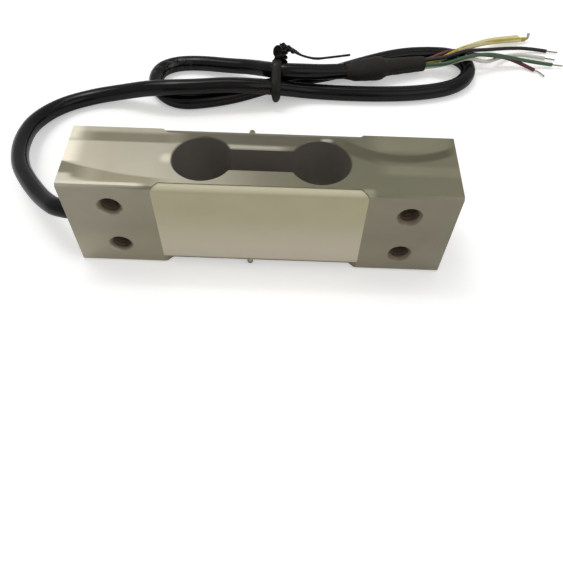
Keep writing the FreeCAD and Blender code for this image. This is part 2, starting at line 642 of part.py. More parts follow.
def tie_curl():
    """The short end: a ribbon curled over beside the top of the stem."""
    end = point(TIE_STEM_END)
    inner = TIE_CURL_RADIUS - TIE_THICKNESS / 2
    centre = end + point(TIE_CURL_SHIFT)
    outer, half = inner + TIE_THICKNESS, TIE_WIDTH / 2
    places = ((inner, -half), (outer, -half), (outer, half), (inner, half), (inner, -half))
    section = Part.makePolygon([FreeCAD.Vector(radius, 0, z) for radius, z in places])
    curl = Part.Face(section).revolve(FreeCAD.Vector(), Z_AXIS, TIE_CURL_TURN)
    lean = FreeCAD.Vector(0, -math.cos(TIE_LEAN), math.sin(TIE_LEAN))
    curl.Placement = FreeCAD.Placement(centre, FreeCAD.Rotation(Z_AXIS, lean))
    return curl


# ---- nodes ---------------------------------------------------------------------------------------
def side_nodes(nodes, side, name, cores, links):
    """Gauges, board, joints, wires and seal of one recess."""
    height = FRONT_BOARD_HEIGHT if side == FRONT else REAR_BOARD_HEIGHT
    sealed = []
    for x, hand in ((-BORE_X, "left"), (BORE_X, "right")):
        sealed.append((f"gauge_carrier_{name}_{hand}", gauge_carrier(side, x)))
        sealed.append((f"gauge_grid_{name}_{hand}", gauge_grid(side, x)))
    sealed.append((f"{name}_terminal_board", board(side, height)))
    sealed.append((f"{name}_solder_joints", solder_joints(side)))
    sealed.append((f"{name}_gauge_jumpers", gauge_jumpers(side)))
    if side == FRONT:
        sealed.append(("zero_balance_resistor", chip_resistor(MID_HEIGHT + CHIP_ROW)))
        sealed.append(("span_resistor", chip_resistor(MID_HEIGHT - CHIP_ROW)))
    nodes.update(sealed)
    inner = [shape for _, shape in sealed] + [links] + ([cores] if side == FRONT else [])
    nodes[f"{name}_gauge_seal"] = gauge_seal(side, inner)


def build():
    """Every node of the load cell by name."""
    nodes = {"spring_body": spring_body()}
    cores, links = cable_cores(), link_wires()
    cable = cord("lead_cable", cable_places(), CABLE_DIAMETER)
    nodes["cable_core_tails"] = cores
    nodes["rear_link_wires"] = links
    side_nodes(nodes, FRONT, "front", cores, links)
    side_nodes(nodes, REAR, "rear", cores, links)
    nodes["cable_potting"] = cable_potting(cable, cores)
    nodes["lead_cable"] = cable

    leads = []
    for name, (place, diameter, free_route) in LEAD_ROUTES.items():
        lead = cord(name, lead_places(place, free_route), diameter)
        tip_name = name.replace("lead", "tip")
        nodes[name] = lead
        nodes[tip_name] = tip(tip_name, free_route[-1]).cut(lead)
        leads.append(lead)
    bore = tube(SLEEVE_ROUTE, INNER_SLEEVE_BORE)[0]
    inner = inner_sleeve()
    outer = tube(sleeve_line(), OUTER_SLEEVE_DIAMETER)[0]
    nodes["inner_shrink_sleeve"] = inner.cut([bore] + leads)
    nodes["outer_shrink_sleeve"] = outer.cut([cable, inner, bore] + leads)

    core_wire = tube(TIE_TAIL[1:], TIE_CORE_DIAMETER)[0]
    strap = fused([tie_band(), tie_stem(), tie_tail(), tie_curl()])
    nodes["tie_core_wire"] = core_wire
    nodes["tie_strap"] = strap.cut([cable, core_wire])
    return nodes


os.makedirs("parts", exist_ok=True)
for node, shape in build().items():
    shape.exportStep(f"parts/{node}.step")
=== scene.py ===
"""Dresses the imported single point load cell: its finishes, cable, leads, sleeves and twist tie."""

import logging
import math
from bisect import bisect_left
from collections.abc import Callable, Iterable, Sequence
from dataclasses import dataclass, field
from enum import Enum
from functools import cache, cached_property, partial
from itertools import accumulate

import bmesh
import bpy
from mathutils import Matrix, Vector


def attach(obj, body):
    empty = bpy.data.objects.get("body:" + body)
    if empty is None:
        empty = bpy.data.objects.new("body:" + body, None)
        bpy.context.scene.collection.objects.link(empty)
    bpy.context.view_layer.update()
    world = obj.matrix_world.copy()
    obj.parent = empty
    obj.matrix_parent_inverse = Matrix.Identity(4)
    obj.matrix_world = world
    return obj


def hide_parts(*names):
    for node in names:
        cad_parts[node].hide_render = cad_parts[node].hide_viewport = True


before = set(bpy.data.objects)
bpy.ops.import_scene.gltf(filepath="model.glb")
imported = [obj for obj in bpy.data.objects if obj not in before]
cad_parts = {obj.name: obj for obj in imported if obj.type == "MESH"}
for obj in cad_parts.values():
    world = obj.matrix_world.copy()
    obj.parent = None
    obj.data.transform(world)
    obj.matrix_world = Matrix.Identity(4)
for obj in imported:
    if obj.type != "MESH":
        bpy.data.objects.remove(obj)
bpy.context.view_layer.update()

MM = 0.001
BODY = "root"
LOG = logging.getLogger("load_cell")

# Groups of two, three and four numbers, and tones, each with its place in millimetres.
Pair = tuple[float, float]
Place = tuple[float, float, float]
Four = tuple[float, float, float, float]
Tones = tuple[tuple[float, str], ...]
Piece = bpy.types.Object
Socket = bpy.types.NodeSocket

# Route of the cable in millimetres: its seat in the beam, a straight stub, a wide loop to the
# table, along the beam, back under itself, round the left fold and through the tie to the sleeves.
CABLE_ROUTE: list[Place] = [
    (-43, -6, 15), (-53.5, -6, 15), (-60.2, -0.5, 12.2), (-67.2, 7.7, 10.2), (-73.7, 17.3, 8.2),
    (-77.1, 29, 6.2), (-77, 40.9, 4.2), (-71, 51.2, 2.8), (-60.5, 56.8, 2.7), (-50.3, 57.5, 4.4),
    (-41.7, 55.7, 7.5), (-33.8, 55.1, 8.7), (-24.9, 56, 8.6), (-14.9, 57.7, 8.5), (-6, 58.2, 8.1),
    (3, 60.6, 5.9), (13, 63.3, 2.8), (26, 63, 2.6), (40, 63.3, 2.6), (53, 64.8, 2.6),
    (64.3, 68.2, 2.6), (70.4, 74.1, 2.6), (71.9, 81.6, 2.6), (66.8, 87.5, 2.6), (57, 87.9, 2.6),
    (46, 86.2, 2.6), (33, 80.4, 2.6), (20.5, 73.6, 2.6), (9, 69.1, 3.8), (-2, 63.5, 3.8),
    (-12, 59.8, 2.6), (-22, 56.6, 2.6), (-31, 55.2, 2.6), (-37.5, 59.1, 2.6), (-41.1, 65.3, 2.6),
    (-40.6, 72.5, 2.6), (-35.1, 76.7, 2.6), (-25.9, 77.6, 2.6), (-15.9, 74.6, 4), (-6.5, 71.3, 6.1),
    (1.5, 64.7, 9.7), (9.5, 65.1, 9.5), (20.4, 68.2, 7.3), (31.4, 72, 5.8),
]

# Line of the sleeves past the jacket, and of the leads inside them.
SLEEVE_ROUTE: list[Place] = [
    (32, 72.22, 5.74), (41, 75.7, 4.7), (49.2, 78.5, 4.1), (56.6, 80.6, 3.6),
]

# Long free end of the tie.
TIE_TAIL: list[Place] = [
    (2.4, 74, 12.6), (4.7, 74.1, 12.4), (7.7, 73.5, 11.1), (10.8, 74, 9.3), (15.2, 73.8, 8.5),
    (20.8, 74.1, 9.2), (27.2, 74.8, 9.9),
]


def metres(place: Sequence[float]) -> Vector:
    """A place given in millimetres as a vector in metres."""
    return Vector(place) * MM


def linear(code: str) -> Four:
    """Turns an sRGB colour into Blender's linear one.

    Args:
        code: The colour as six hex digits.

    Returns:
        Red, green, blue and an alpha of 1.
    """
    shares = [int(code[start:start + 2], 16) / 255 for start in (0, 2, 4)]
    toned = [share / 12.92 if share <= 0.04045 else ((share + 0.055) / 1.055) ** 2.4
             for share in shares]
    return (toned[0], toned[1], toned[2], 1.0)


def add_node(tree: bpy.types.NodeTree, kind: str, settings: dict | None = None,
             links: dict | None = None) -> Socket:
    """Adds a node with its settings and links.

    Args:
        tree: The node tree.
        kind: The node's type name, without ShaderNode before it.
        settings: Values by attribute name, or by input name or number.
        links: Output sockets by the input name or number that they feed.

    Returns:
        The first output that the settings leave in use; its node has the others.
    """
    node = tree.nodes.new("ShaderNode" + kind)
    for key, value in (settings or {}).items():
        if isinstance(key, str) and hasattr(node, key):
            setattr(node, key, value)
        else:
            node.inputs[key].default_value = value
    for key, output in (links or {}).items():
        tree.links.new(output, node.inputs[key])
    return next(output for output in node.outputs if output.enabled)


# Settings with which a Map Range node eases in and out.
SOFT = {"interpolation_type": "SMOOTHSTEP"}


# ---- finishes ------------------------------------------------------------------------------------
class Canvas:
    """A material being painted: its shader, and the places that its patterns read."""

    def __init__(self, material: bpy.types.Material) -> None:
        """Starts on a material's own shader.

        Args:
            material: The material.
        """
        material.use_nodes = True
        self.tree = material.node_tree
        self.shader = self.tree.nodes["Principled BSDF"]
        self.add = partial(add_node, self.tree)
        where = self.add("TexCoord").node.outputs
        self.place, self.normal = where["Object"], where["Normal"]

    def feed(self, name: str, output: Socket) -> None:
        """Feeds one of the shader's inputs."""
        self.tree.links.new(output, self.shader.inputs[name])

    @cached_property
    def split(self) -> bpy.types.NodeOutputs:
        """The place's X, Y and Z."""
        return self.add("SeparateXYZ", {}, {0: self.place}).node.outputs

    @cached_property
    def flat(self) -> Socket:
        """The place without its height."""
        return self.add("VectorMath", {"operation": "MULTIPLY", 1: (1, 1, 0)}, {0: self.place})

    @cached_property
    def facing_up(self) -> Socket:
        """The surface normal's Z."""
        return self.add("SeparateXYZ", {}, {0: self.normal}).node.outputs["Z"]

    def layered(self, colour: Socket, layers: Iterable[tuple[Socket, Socket | str]]) -> Socket:
        """Lays tones over a colour, in order.

        Args:
            colour: The colour at the bottom.
            layers: Each layer's share and its tone, as a socket or six hex digits.

        Returns:
            The colour's socket.
        """
        for share, tone in layers:
            settings, links = {"data_type": "RGBA"}, {0: share, 6: colour}
            if isinstance(tone, str):
                settings[7] = linear(tone)
            else:
                links[7] = tone
            colour = self.add("Mix", settings, links)
        return colour


@dataclass(frozen=True)
class Finish:
    """A plain moulded or drawn surface with a fine unevenness; the other finishes build on it."""

    name: str
    colour: str
    shade: str
    roughness: float
    metallic: float = 0.0
    ior: float = 1.5
    mottle_mm: float = 3.0
    grain_mm: float = 0.4
    grain_depth_mm: float = 0.01
    grain_strength: float = 0.5
    sheen: float = 0.0
    specular: float = 0.5

    @cache
    def material(self) -> bpy.types.Material:
        """Builds the material, the first time that it is asked for.

        Returns:
            The material, with its shader fed by this finish's patterns.
        """
        made = bpy.data.materials.new(self.name)
        canvas = Canvas(made)
        plain = {"Roughness": self.roughness, "Metallic": self.metallic}
        if self.metallic == 0.0:
            plain |= {"IOR": self.ior, "Sheen Weight": self.sheen,
                      "Specular IOR Level": self.specular}
        for name, value in plain.items():
            canvas.shader.inputs[name].default_value = value
        self.paint(canvas)
        return made

    def paint(self, canvas: Canvas) -> None:
        """Feeds the shader with a soft mottle of two tones and a fine grain."""
        canvas.feed("Base Color", self.mottled(canvas))
        self.emboss(canvas)

    def mottled(self, canvas: Canvas) -> Socket:
        """Builds the soft mottle of the finish's two tones.

        Args:
            canvas: The material being painted.

        Returns:
            The colour's socket.
        """
        mottle = canvas.add("TexNoise", {"Scale": 1 / (self.mottle_mm * MM), "Detail": 3.0},
                            {"Vector": canvas.place})
        return canvas.add("Mix", {"data_type": "RGBA", 6: linear(self.colour),
                                  7: linear(self.shade)}, {0: mottle})

    def emboss(self, canvas: Canvas) -> None:
        """Adds the fine grain as a bump.

        Args:
            canvas: The material being painted.
        """
        grain = canvas.add("TexNoise", {"Scale": 1 / (self.grain_mm * MM), "Detail": 2.0},
                           {"Vector": canvas.place})
        canvas.feed("Normal", canvas.add("Bump", {"Strength": self.grain_strength,
                                                  "Distance": self.grain_depth_mm * MM},
                                         {"Height": grain}))


def run_share(canvas: Canvas, value: Socket, stops_mm: Four) -> Socket:
    """Builds a soft run: nothing up to the first stop, all between the middle two, nothing after.

    Args:
        canvas: The material being painted.
        value: The length in metres that is tested.
        stops_mm: The four stops, rising.

    Returns:
        The share's socket, from 0 to 1.
    """
    start, full, fade, end = (stop * MM for stop in stops_mm)
    rise, fall = (canvas.add("MapRange", {**SOFT, "From Min": outer, "From Max": inner},
                             {0: value})
                  for outer, inner in ((start, full), (end, fade)))
    return canvas.add("Math", {"operation": "MULTIPLY"}, {0: rise, 1: fall})


@dataclass(frozen=True)
class PaintedReflection:
    """A painted reflection or painted highlight on the beam's wide faces, where the cutter's bands
    and the edges turn light or dark: another tone, in place of what lies under it.

    Its stops are millimetres at which it starts, is full, starts to fade and ends: along the
    beam, and across it from the middle or, where it has a centre, outwards from that.
    """

    tone: str
    along: Four
    across: Four
    centre: Pair | None = None

    def share(self, canvas: Canvas) -> Socket:
        """Builds how strongly the mark shows at each place.

        Args:
            canvas: The material being painted.

        Returns:
            The share's socket, from 0 to 1.
        """
        off = canvas.split["Y"]
        if self.centre is not None:
            off = canvas.add("VectorMath", {"operation": "DISTANCE",
                                            1: tuple(metres((*self.centre, 0)))},
                             {0: canvas.flat})
        return canvas.add("Math", {"operation": "MULTIPLY"},
                          {0: run_share(canvas, canvas.split["X"], self.along),
                           1: run_share(canvas, off, self.across)})


@dataclass(frozen=True)
class FlyCutAluminium(Finish):
    """Bare aluminium. The wide faces are fly cut; their run from cream to olive, and the sweeping
    light and dark bands on them, are painted reflection and painted highlights over the cutter's
    fine rings. The narrow faces are milled to an even grey, with painted shade towards the right
    end and painted light near the foot. The bores stay dark, their walls painted paler towards
    the bottom as painted light, and the tapped holes are painted dull brown as painted shade. Its
    colour and shade are those of the bores, low and high."""

    # Painted reflection: the run of tones along the wide faces.
    tones: Tones = ()
    marks: tuple[PaintedReflection, ...] = ()
    # The narrow faces' grey, darker towards the right end: painted shade.
    side_tones: Tones = (
        (-50.0, "A59E8E"), (-26.0, "9F9987"), (26.0, "989280"), (50.0, "948F7E"),
    )
    # Painted light: the narrow faces turn brighter towards the foot.
    foot_mm: Pair = (16.0, 2.0)
    foot_painted_light: float = 1.44
    upright_below: float = 0.3
    # The bores' walls are painted paler towards the bottom: painted light against their shade.
    bore_depth_mm: Pair = (29.0, 6.0)
    bore_reach_mm: Pair = (24.0, 8.9)
    hidden_metallic: float = 0.15
    haze: Pair = (0.94, 1.06)
    # Painted shade: the tapped holes' insides are painted dull brown.
    hole_painted_shade: str = "7E6F5E"
    hole_edge_mm: Pair = (3.4, 2.6)
    hole_x_mm: float = 38.0
    hole_z_mm: float = 7.5
    hole_radius_mm: float = 2.95
    mid_height_mm: float = 15.0
    thread_pitch_mm: float = 1.0
    thread_depth_mm: float = 0.05
    cutter_mm: Pair = (-38.0, 60.0)
    swirl_pitch_mm: float = 0.9
    swirl_share: float = 0.35

    def paint(self, canvas: Canvas) -> None:
        """Lays the painted reflection along the wide faces, then the painted reflections and
        highlights, the sides, bores and threads.

        Args:
            canvas: The material being painted.
        """
        level = canvas.add("Math", {"operation": "ABSOLUTE"}, {0: canvas.facing_up})
        upright = canvas.add("Math", {"operation": "LESS_THAN", 1: self.upright_below}, {0: level})
        walls = self.wall_share(canvas, upright)
        # Painted light: the bores' walls turn paler with depth.
        high, low = (height * MM for height in self.bore_depth_mm)
        depth = canvas.add("MapRange", {"From Min": high, "From Max": low},
                           {0: canvas.split["Z"]})
        bore = canvas.add("Mix", {"data_type": "RGBA", 6: linear(self.shade),
                                  7: linear(self.colour)}, {0: depth})
        from_hole = self.hole_distance(canvas)
        # Painted shade inside the tapped holes.
        rim, inside = (radius * MM for radius in self.hole_edge_mm)
        holes = canvas.add("MapRange", {**SOFT, "From Min": rim, "From Max": inside},
                           {0: from_hole})
        # Over the painted reflection along the faces go the painted reflections and highlights, the
        # narrow faces' tone, the bores' painted light and the holes' painted shade.
        colour = canvas.layered(
            self.along(canvas, self.tones),
            [(mark.share(canvas), mark.tone) for mark in self.marks]
            + [(upright, self.side(canvas)), (walls, bore), (holes, self.hole_painted_shade)])
        haze = canvas.add("TexNoise", {"Scale": 1 / (self.mottle_mm * MM), "Detail": 4.0},
                          {"Vector": canvas.place})
        dim, bright = self.haze
        lift = canvas.add("MapRange", {"To Min": dim, "To Max": bright}, {0: haze})
        canvas.feed("Base Color", canvas.add("VectorMath", {"operation": "SCALE"},
                                             {0: colour, "Scale": lift}))
        hidden = canvas.add("Math", {"operation": "MAXIMUM"}, {0: walls, 1: holes})
        canvas.feed("Metallic", canvas.add(
            "MapRange", {"To Min": self.metallic, "To Max": self.hidden_metallic}, {0: hidden}))
        self.emboss_cuts(canvas, from_hole)

    def side(self, canvas: Canvas) -> Socket:
        """Builds the tone of the narrow faces: their grey, painted darker towards the right end as
        painted shade and brighter near the foot as painted light.

        Args:
            canvas: The material being painted.

        Returns:
            The colour's socket.
        """
        high, low = (height * MM for height in self.foot_mm)
        gain = canvas.add("MapRange", {**SOFT, "From Min": high, "From Max": low,
                                       "To Min": 1.0, "To Max": self.foot_painted_light},
                          {0: canvas.split["Z"]})
        return canvas.add("VectorMath", {"operation": "SCALE"},
                          {0: self.along(canvas, self.side_tones), "Scale": gain})

    def along(self, canvas: Canvas, tones: Tones) -> Socket:
        """Builds a run of tones along the beam.

        Args:
            canvas: The material being painted.
            tones: Places along the beam in millimetres, each with its tone.

        Returns:
            The colour's socket.
        """
        low, high = tones[0][0], tones[-1][0]
        share = canvas.add("MapRange", {"From Min": low * MM, "From Max": high * MM},
                           {0: canvas.split["X"]})
        ramp = canvas.add("ValToRGB", {}, {0: share})
        stops = ramp.node.color_ramp.elements
        while len(stops) < len(tones):
            stops.new(0.5)
        # The places come before the colours, because a new place may change the stops' order.
        for stop, (x, _) in zip(stops, tones):
            stop.position = (x - low) / (high - low)
        for stop, (_, tone) in zip(stops, tones):
            stop.color = linear(tone)
        return ramp

    def hole_distance(self, canvas: Canvas) -> Socket:
        """Builds each place's distance from the nearest tapped hole's axis.

        Args:
            canvas: The material being painted.

        Returns:
            The distance's socket, in metres.
        """
        rise = canvas.add("Math", {"operation": "SUBTRACT", 1: self.mid_height_mm * MM},
                          {0: canvas.split["Z"]})
        sizes = [canvas.add("Math", {"operation": "ABSOLUTE"}, {0: value})
                 for value in (canvas.split["X"], rise)]
        axis = metres((self.hole_x_mm, self.hole_z_mm, 0))
        return canvas.add("VectorMath", {"operation": "DISTANCE", 1: tuple(axis)},
                          {0: canvas.add("CombineXYZ", {}, dict(enumerate(sizes)))})

    def wall_share(self, canvas: Canvas, upright: Socket) -> Socket:
        """Builds the mask of the walls inside the opening.

        Args:
            canvas: The material being painted.
            upright: The mask of the upright walls.

        Returns:
            The mask's socket.
        """
        share = upright
        for axis, reach in zip("XY", self.bore_reach_mm):
            size = canvas.add("Math", {"operation": "ABSOLUTE"}, {0: canvas.split[axis]})
            inside = canvas.add("Math", {"operation": "LESS_THAN", 1: reach * MM}, {0: size})
            share = canvas.add("Math", {"operation": "MULTIPLY"}, {0: share, 1: inside})
        return share

    def emboss_cuts(self, canvas: Canvas, from_hole: Socket) -> None:
        """Adds the cutter's fine rings, the grain and the threads as bumps.

        Args:
            canvas: The material being painted.
            from_hole: Each place's distance from the nearest tapped hole's axis.
        """
        cutter = metres((*self.cutter_mm, 0))
        away = canvas.add("VectorMath", {"operation": "DISTANCE", 1: tuple(cutter)},
                          {0: canvas.flat})
        rings, threads = (
            canvas.add("Math", {"operation": "SINE"}, {0: canvas.add(
                "Math", {"operation": "MULTIPLY", 1: 2 * math.pi / (pitch * MM)}, {0: value})})
            for value, pitch in ((away, self.swirl_pitch_mm),
                                 (canvas.split["Y"], self.thread_pitch_mm)))
        grain = canvas.add("TexNoise", {"Scale": 1 / (self.grain_mm * MM), "Detail": 3.0},
                           {"Vector": canvas.place})
        mixed = canvas.add("Math", {"operation": "MULTIPLY_ADD", 1: self.swirl_share},
                           {0: rings, 2: grain})
        surface = canvas.add("Bump", {"Strength": self.grain_strength,
                                      "Distance": self.grain_depth_mm * MM}, {"Height": mixed})
        near = canvas.add("Math", {"operation": "LESS_THAN", 1: self.hole_radius_mm * MM},
                          {0: from_hole})
        cut = canvas.add("Math", {"operation": "MULTIPLY"}, {0: threads, 1: near})
        canvas.feed("Normal", canvas.add(
            "Bump", {"Strength": 1.0, "Distance": self.thread_depth_mm * MM},
            {"Height": cut, "Normal": surface}))


@dataclass(frozen=True)
class PouredSilicone(Finish):
    """Silicone poured into the recess and wiped flush: ivory and satin. Its paler lip is a painted
    highlight, its paler foot painted light, its dark lower edge a painted shadow and its dark rear
    lip painted shade.
    """

    # Painted highlight on the seal's upward-turned lip.
    lip: str = "CFC9AC"
    # Painted light: the seal turns paler towards its foot.
    foot: str = "DBD1BA"
    # Painted shade on the seal's rear lip.
    rear_lip_shade: str = "7C7866"
    # Painted shadow along the seal's lower edge.
    edge: str = "857D6B"
    foot_mm: Pair = (24.0, 4.0)
    edge_mm: Pair = (3.3, 2.5)
    rear_mm: float = 8.5
    lip_facing: Pair = (0.3, 0.9)

    def paint(self, canvas: Canvas) -> None:
        """Lays the body's tone, then the painted light at the foot, the painted shadow along the
        lower edge, the painted highlight on the lip and the painted shade on the rear lip.

        Args:
            canvas: The material being painted.
        """
        z = canvas.split["Z"]
        # Masks for the painted light at the foot, the painted shadow along the lower edge and the
        # painted highlight on the lip.
        foot, edge, lip = (
            canvas.add("MapRange", {**SOFT, "From Min": none * unit, "From Max": full * unit},
                       {0: value})
            for value, (none, full), unit in ((z, self.foot_mm, MM), (z, self.edge_mm, MM),
                                              (canvas.facing_up, self.lip_facing, 1)))
        # Where the painted shade on the rear lip lies.
        behind = canvas.add("Math", {"operation": "GREATER_THAN", 1: self.rear_mm * MM},
                            {0: canvas.split["Y"]})
        rear = canvas.add("Math", {"operation": "MULTIPLY"}, {0: behind, 1: lip})
        canvas.feed("Base Color", canvas.layered(self.mottled(canvas), (
            (foot, self.foot), (edge, self.edge), (lip, self.lip), (rear, self.rear_lip_shade))))
        self.emboss(canvas)


@dataclass(frozen=True)
class ScuffedPvc(Finish):
    """Extruded PVC jacket: black, semi-gloss, with grey dust and rub marks on its folds."""

    scuff: str = "6E6C64"
    scuff_place: Place = (-37.0, 72.0, 4.0)
    scuff_reach_mm: float = 15.0
    scuff_grain_mm: float = 2.2
    scuff_spots: Pair = (0.52, 0.72)
    scuff_strength: float = 0.8

    def paint(self, canvas: Canvas) -> None:
        """Adds rub marks near the left fold to the plain black.

        Args:
            canvas: The material being painted.
        """
        away = canvas.add("VectorMath",
                          {"operation": "DISTANCE", 1: tuple(metres(self.scuff_place))},
                          {0: canvas.place})
        near = canvas.add("MapRange", {**SOFT, "From Max": 0.0,
                                       "From Min": self.scuff_reach_mm * MM}, {0: away})
        rub = canvas.add("TexNoise", {"Scale": 1 / (self.scuff_grain_mm * MM), "Detail": 5.0,
                                      "Roughness": 0.7}, {"Vector": canvas.place})
        bare, rubbed = self.scuff_spots
        spots = canvas.add("MapRange", {"From Min": bare, "From Max": rubbed,
                                        "To Max": self.scuff_strength}, {0: rub})
        share = canvas.add("Math", {"operation": "MULTIPLY"}, {0: near, 1: spots})
        canvas.feed("Base Color", canvas.layered(self.mottled(canvas), [(share, self.scuff)]))
        self.emboss(canvas)


# Bare metal off the cutter: a satin grey, painted from cream to olive along the wide faces as
# painted reflection, with painted reflections and highlights on its bands and edges.
ALUMINIUM = FlyCutAluminium(
    "fly_cut_aluminium_with_painted_reflections", "ADA79C", "7A766E", 0.42, metallic=1.0, mottle_mm=5.0, grain_mm=0.25,
    grain_depth_mm=0.02, grain_strength=0.35,
    # From cream at the left end to olive at the right: painted reflection.
    tones=((-50.0, "C8C2AE"), (-44.0, "C5BFAB"), (-38.0, "BDB7A4"), (-28.0, "BFB9A8"),
           (-10.0, "ABA694"), (0.0, "928D7B"), (12.0, "87846F"), (24.0, "8A8872"),
           (34.0, "8D8B75"), (50.0, "96937C")),
    # Every mark is painted light: the cream patches at the left end and the lighter patches at the
    # right are painted reflection; the dark band along the rear and the two dark arcs are painted
    # reflection of the cutter's bands; the pale strips and spots on the slot's rear edge, the front
    # bevels and the bores' rims are painted highlights.
    marks=(
        PaintedReflection("FDF6E3", (-61, -60, -49.5, -44.5), (-3.2, -2.2, 4.2, 5.8)),
        PaintedReflection("F6EFDA", (-61, -60, -49, -45.5), (4.5, 6.5, 12, 13)),
        PaintedReflection("8E8876", (-50, -42, -26, -18), (4.6, 5.3, 7.6, 9.4)),
        PaintedReflection("777364", (-26, -18, 18, 25), (5.0, 5.7, 12, 13)),
        PaintedReflection("C2BEAD", (-11, -8.5, 3, 8), (3.4, 3.6, 4.6, 5.4)),
        PaintedReflection("87826F", (-61, -60, -47, -38), (104.6, 105.3, 108.4, 110), (-17, 97)),
        PaintedReflection("9C9681", (-47, -38, -28, -20), (104.6, 105.3, 108.4, 110), (-17, 97)),
        PaintedReflection("CFC9BB", (-61, -60, -48.5, -45.5), (-11.5, -11, -7.4, -6.2)),
        PaintedReflection("DAD4C0", (-61, -60, -31, -27), (-10.9, -10.4, -9.9, -9.1)),
        PaintedReflection("E0DAC8", (-30, -29, -20, -19), (0, 0.1, 0.3, 2.6), (-24.0, -0.5)),
        PaintedReflection("A29E86", (26, 32, 47, 50), (3.5, 5.5, 10, 12)),
        PaintedReflection("A19D86", (28, 34, 60, 61), (-4.8, -2.8, -1.2, 0.3)),
        PaintedReflection("75725E", (20, 23, 47, 51), (23.2, 24.4, 25.7, 27.2), (36.3, 27.2)),
        PaintedReflection("75725F", (20, 22, 27, 32), (23.9, 24.6, 27.0, 28.6), (36.3, 27.2)),
        PaintedReflection("ACAA91", (25.2, 26, 27.2, 29.2), (-11.5, -10.8, -9.4, -8.4)),
        PaintedReflection("D2D0C6", (14.6, 16, 17, 18.8), (6.9, 7.8, 8.0, 8.9)),
    ),
)
# A soft rubbery satin, neither glossy nor powdery.
SILICONE = PouredSilicone("poured_silicone_ivory", "C6BE9C", "BAB290", 0.5, ior=1.41,
                          mottle_mm=9.0, grain_mm=1.6, grain_depth_mm=0.06, sheen=0.1)
# Smooth extruded vinyl, near black, with one soft grey highlight and dust on its folds.
JACKET = ScuffedPvc("extruded_pvc_black", "080707", "0D0C0B", 0.18, ior=1.53, grain_mm=0.8,
                    grain_depth_mm=0.01, specular=0.25)
# Shrunk tube, matt and slightly ribbed, so that it is greyer than the jacket.
SHRINK = Finish("polyolefin_shrink_tube", "242320", "2D2C29", 0.6, grain_mm=0.7,
                grain_depth_mm=0.03, specular=0.2)
# Soft vinyl lead, a brownish satin black.
BLACK_LEAD = Finish("pvc_lead_black", "1B1819", "252021", 0.45)
# The same vinyl in a dull bottle green.
GREEN_LEAD = Finish("pvc_lead_green", "4A6B4C", "3A5A3F", 0.45)
# The same vinyl in a warm white that greys in its own shade.
WHITE_LEAD = Finish("pvc_lead_white", "E4E2D8", "D6D4C8", 0.45)
# The same vinyl in mustard, over the shield's drain.
YELLOW_LEAD = Finish("pvc_lead_yellow", "C6B03E", "B29E34", 0.45)
# The same vinyl in a dark wine red.
RED_LEAD = Finish("pvc_lead_red", "6E3238", "5A2A2E", 0.45)
# Pale vinyl sleeving over the shield, slightly dusty.
SLEEVING = Finish("pvc_sleeving_pale_yellow", "E8E0B4", "D8CD92", 0.5, mottle_mm=2.0)
# Dull silver strands with a warm cast from the copper under the tin.
TINNED = Finish("tinned_copper_strand", "CFCBC0", "ADA798", 0.35, metallic=1.0, grain_mm=0.2)
# Thin vinyl ribbon, dark olive, satin along its rounded edges.
TIE_PLASTIC = Finish("extruded_tie_plastic", "14140F", "1C1B16", 0.4, grain_mm=0.5,
                     grain_depth_mm=0.02, specular=0.25)
# Drawn steel wire inside the tie: plain, mid grey, a little bright.
STEEL_WIRE = Finish("drawn_steel_wire", "8A8A86", "70706C", 0.35, metallic=1.0)
# Amber film that carries a gauge: thin, clear brown and smooth.
FILM = Finish("polyimide_film", "B8782C", "A86A22", 0.35)
# Etched gauge foil: flat warm grey metal.
FOIL = Finish("constantan_foil", "A9A294", "989182", 0.3, metallic=1.0)
# Glass and epoxy board: deep green with a fine weave under the lacquer.
LAMINATE = Finish("glass_epoxy_laminate", "2E5A3A", "274E32", 0.45, grain_mm=0.5)
# Tin solder: bright, smooth and slightly blue.
SOLDER = Finish("tin_solder", "B4B4B2", "A2A2A0", 0.3, metallic=1.0)
# Fired resistor body: plain matt black.
CERAMIC = Finish("fired_resistor_body", "17171A", "202024", 0.5)
# Enamelled copper wire: clear lacquer that leaves it a glossy red brown.
ENAMEL = Finish("enamelled_copper", "8A4A22", "7A3E1C", 0.3)
# Vinyl on the cable's cores inside the beam: plain red.
CORE = Finish("pvc_core_insulation", "7E2A2A", "6E2424", 0.45)
# Cast resin round the cable: dark, with a soft uneven surface.
RESIN = Finish("potting_resin", "191816", "23211E", 0.45, grain_mm=1.0, grain_depth_mm=0.05)


class CadGroup(Enum):
    """CAD nodes that show as they are, in groups that share a finish."""

    BODY = (ALUMINIUM, "spring_body")
    SEALS = (SILICONE, "front_gauge_seal", "rear_gauge_seal")
    POTTING = (RESIN, "cable_potting")
    BOARDS = (LAMINATE, "front_terminal_board", "rear_terminal_board")
    JOINTS = (SOLDER, "front_solder_joints", "rear_solder_joints")
    RESISTORS = (CERAMIC, "zero_balance_resistor", "span_resistor")
    WIRES = (ENAMEL, "front_gauge_jumpers", "rear_gauge_jumpers", "rear_link_wires")
    CORES = (CORE, "cable_core_tails")
    CARRIERS = (FILM, "gauge_carrier_front_left", "gauge_carrier_front_right",
                "gauge_carrier_rear_left", "gauge_carrier_rear_right")
    GRIDS = (FOIL, "gauge_grid_front_left", "gauge_grid_front_right",
             "gauge_grid_rear_left", "gauge_grid_rear_right")


def dress(piece: Piece, finish: Finish) -> None:
    """Puts a finish on a whole piece.

    Args:
        piece: The piece's object.
        finish: Its finish.
    """
    piece.data.materials.clear()
    piece.data.materials.append(finish.material())


def show(name: str, data: bpy.types.ID) -> Piece:
    """Makes an object and puts it in the scene."""
    shown = bpy.data.objects.new(name, data)
    bpy.context.scene.collection.objects.link(shown)
    return shown


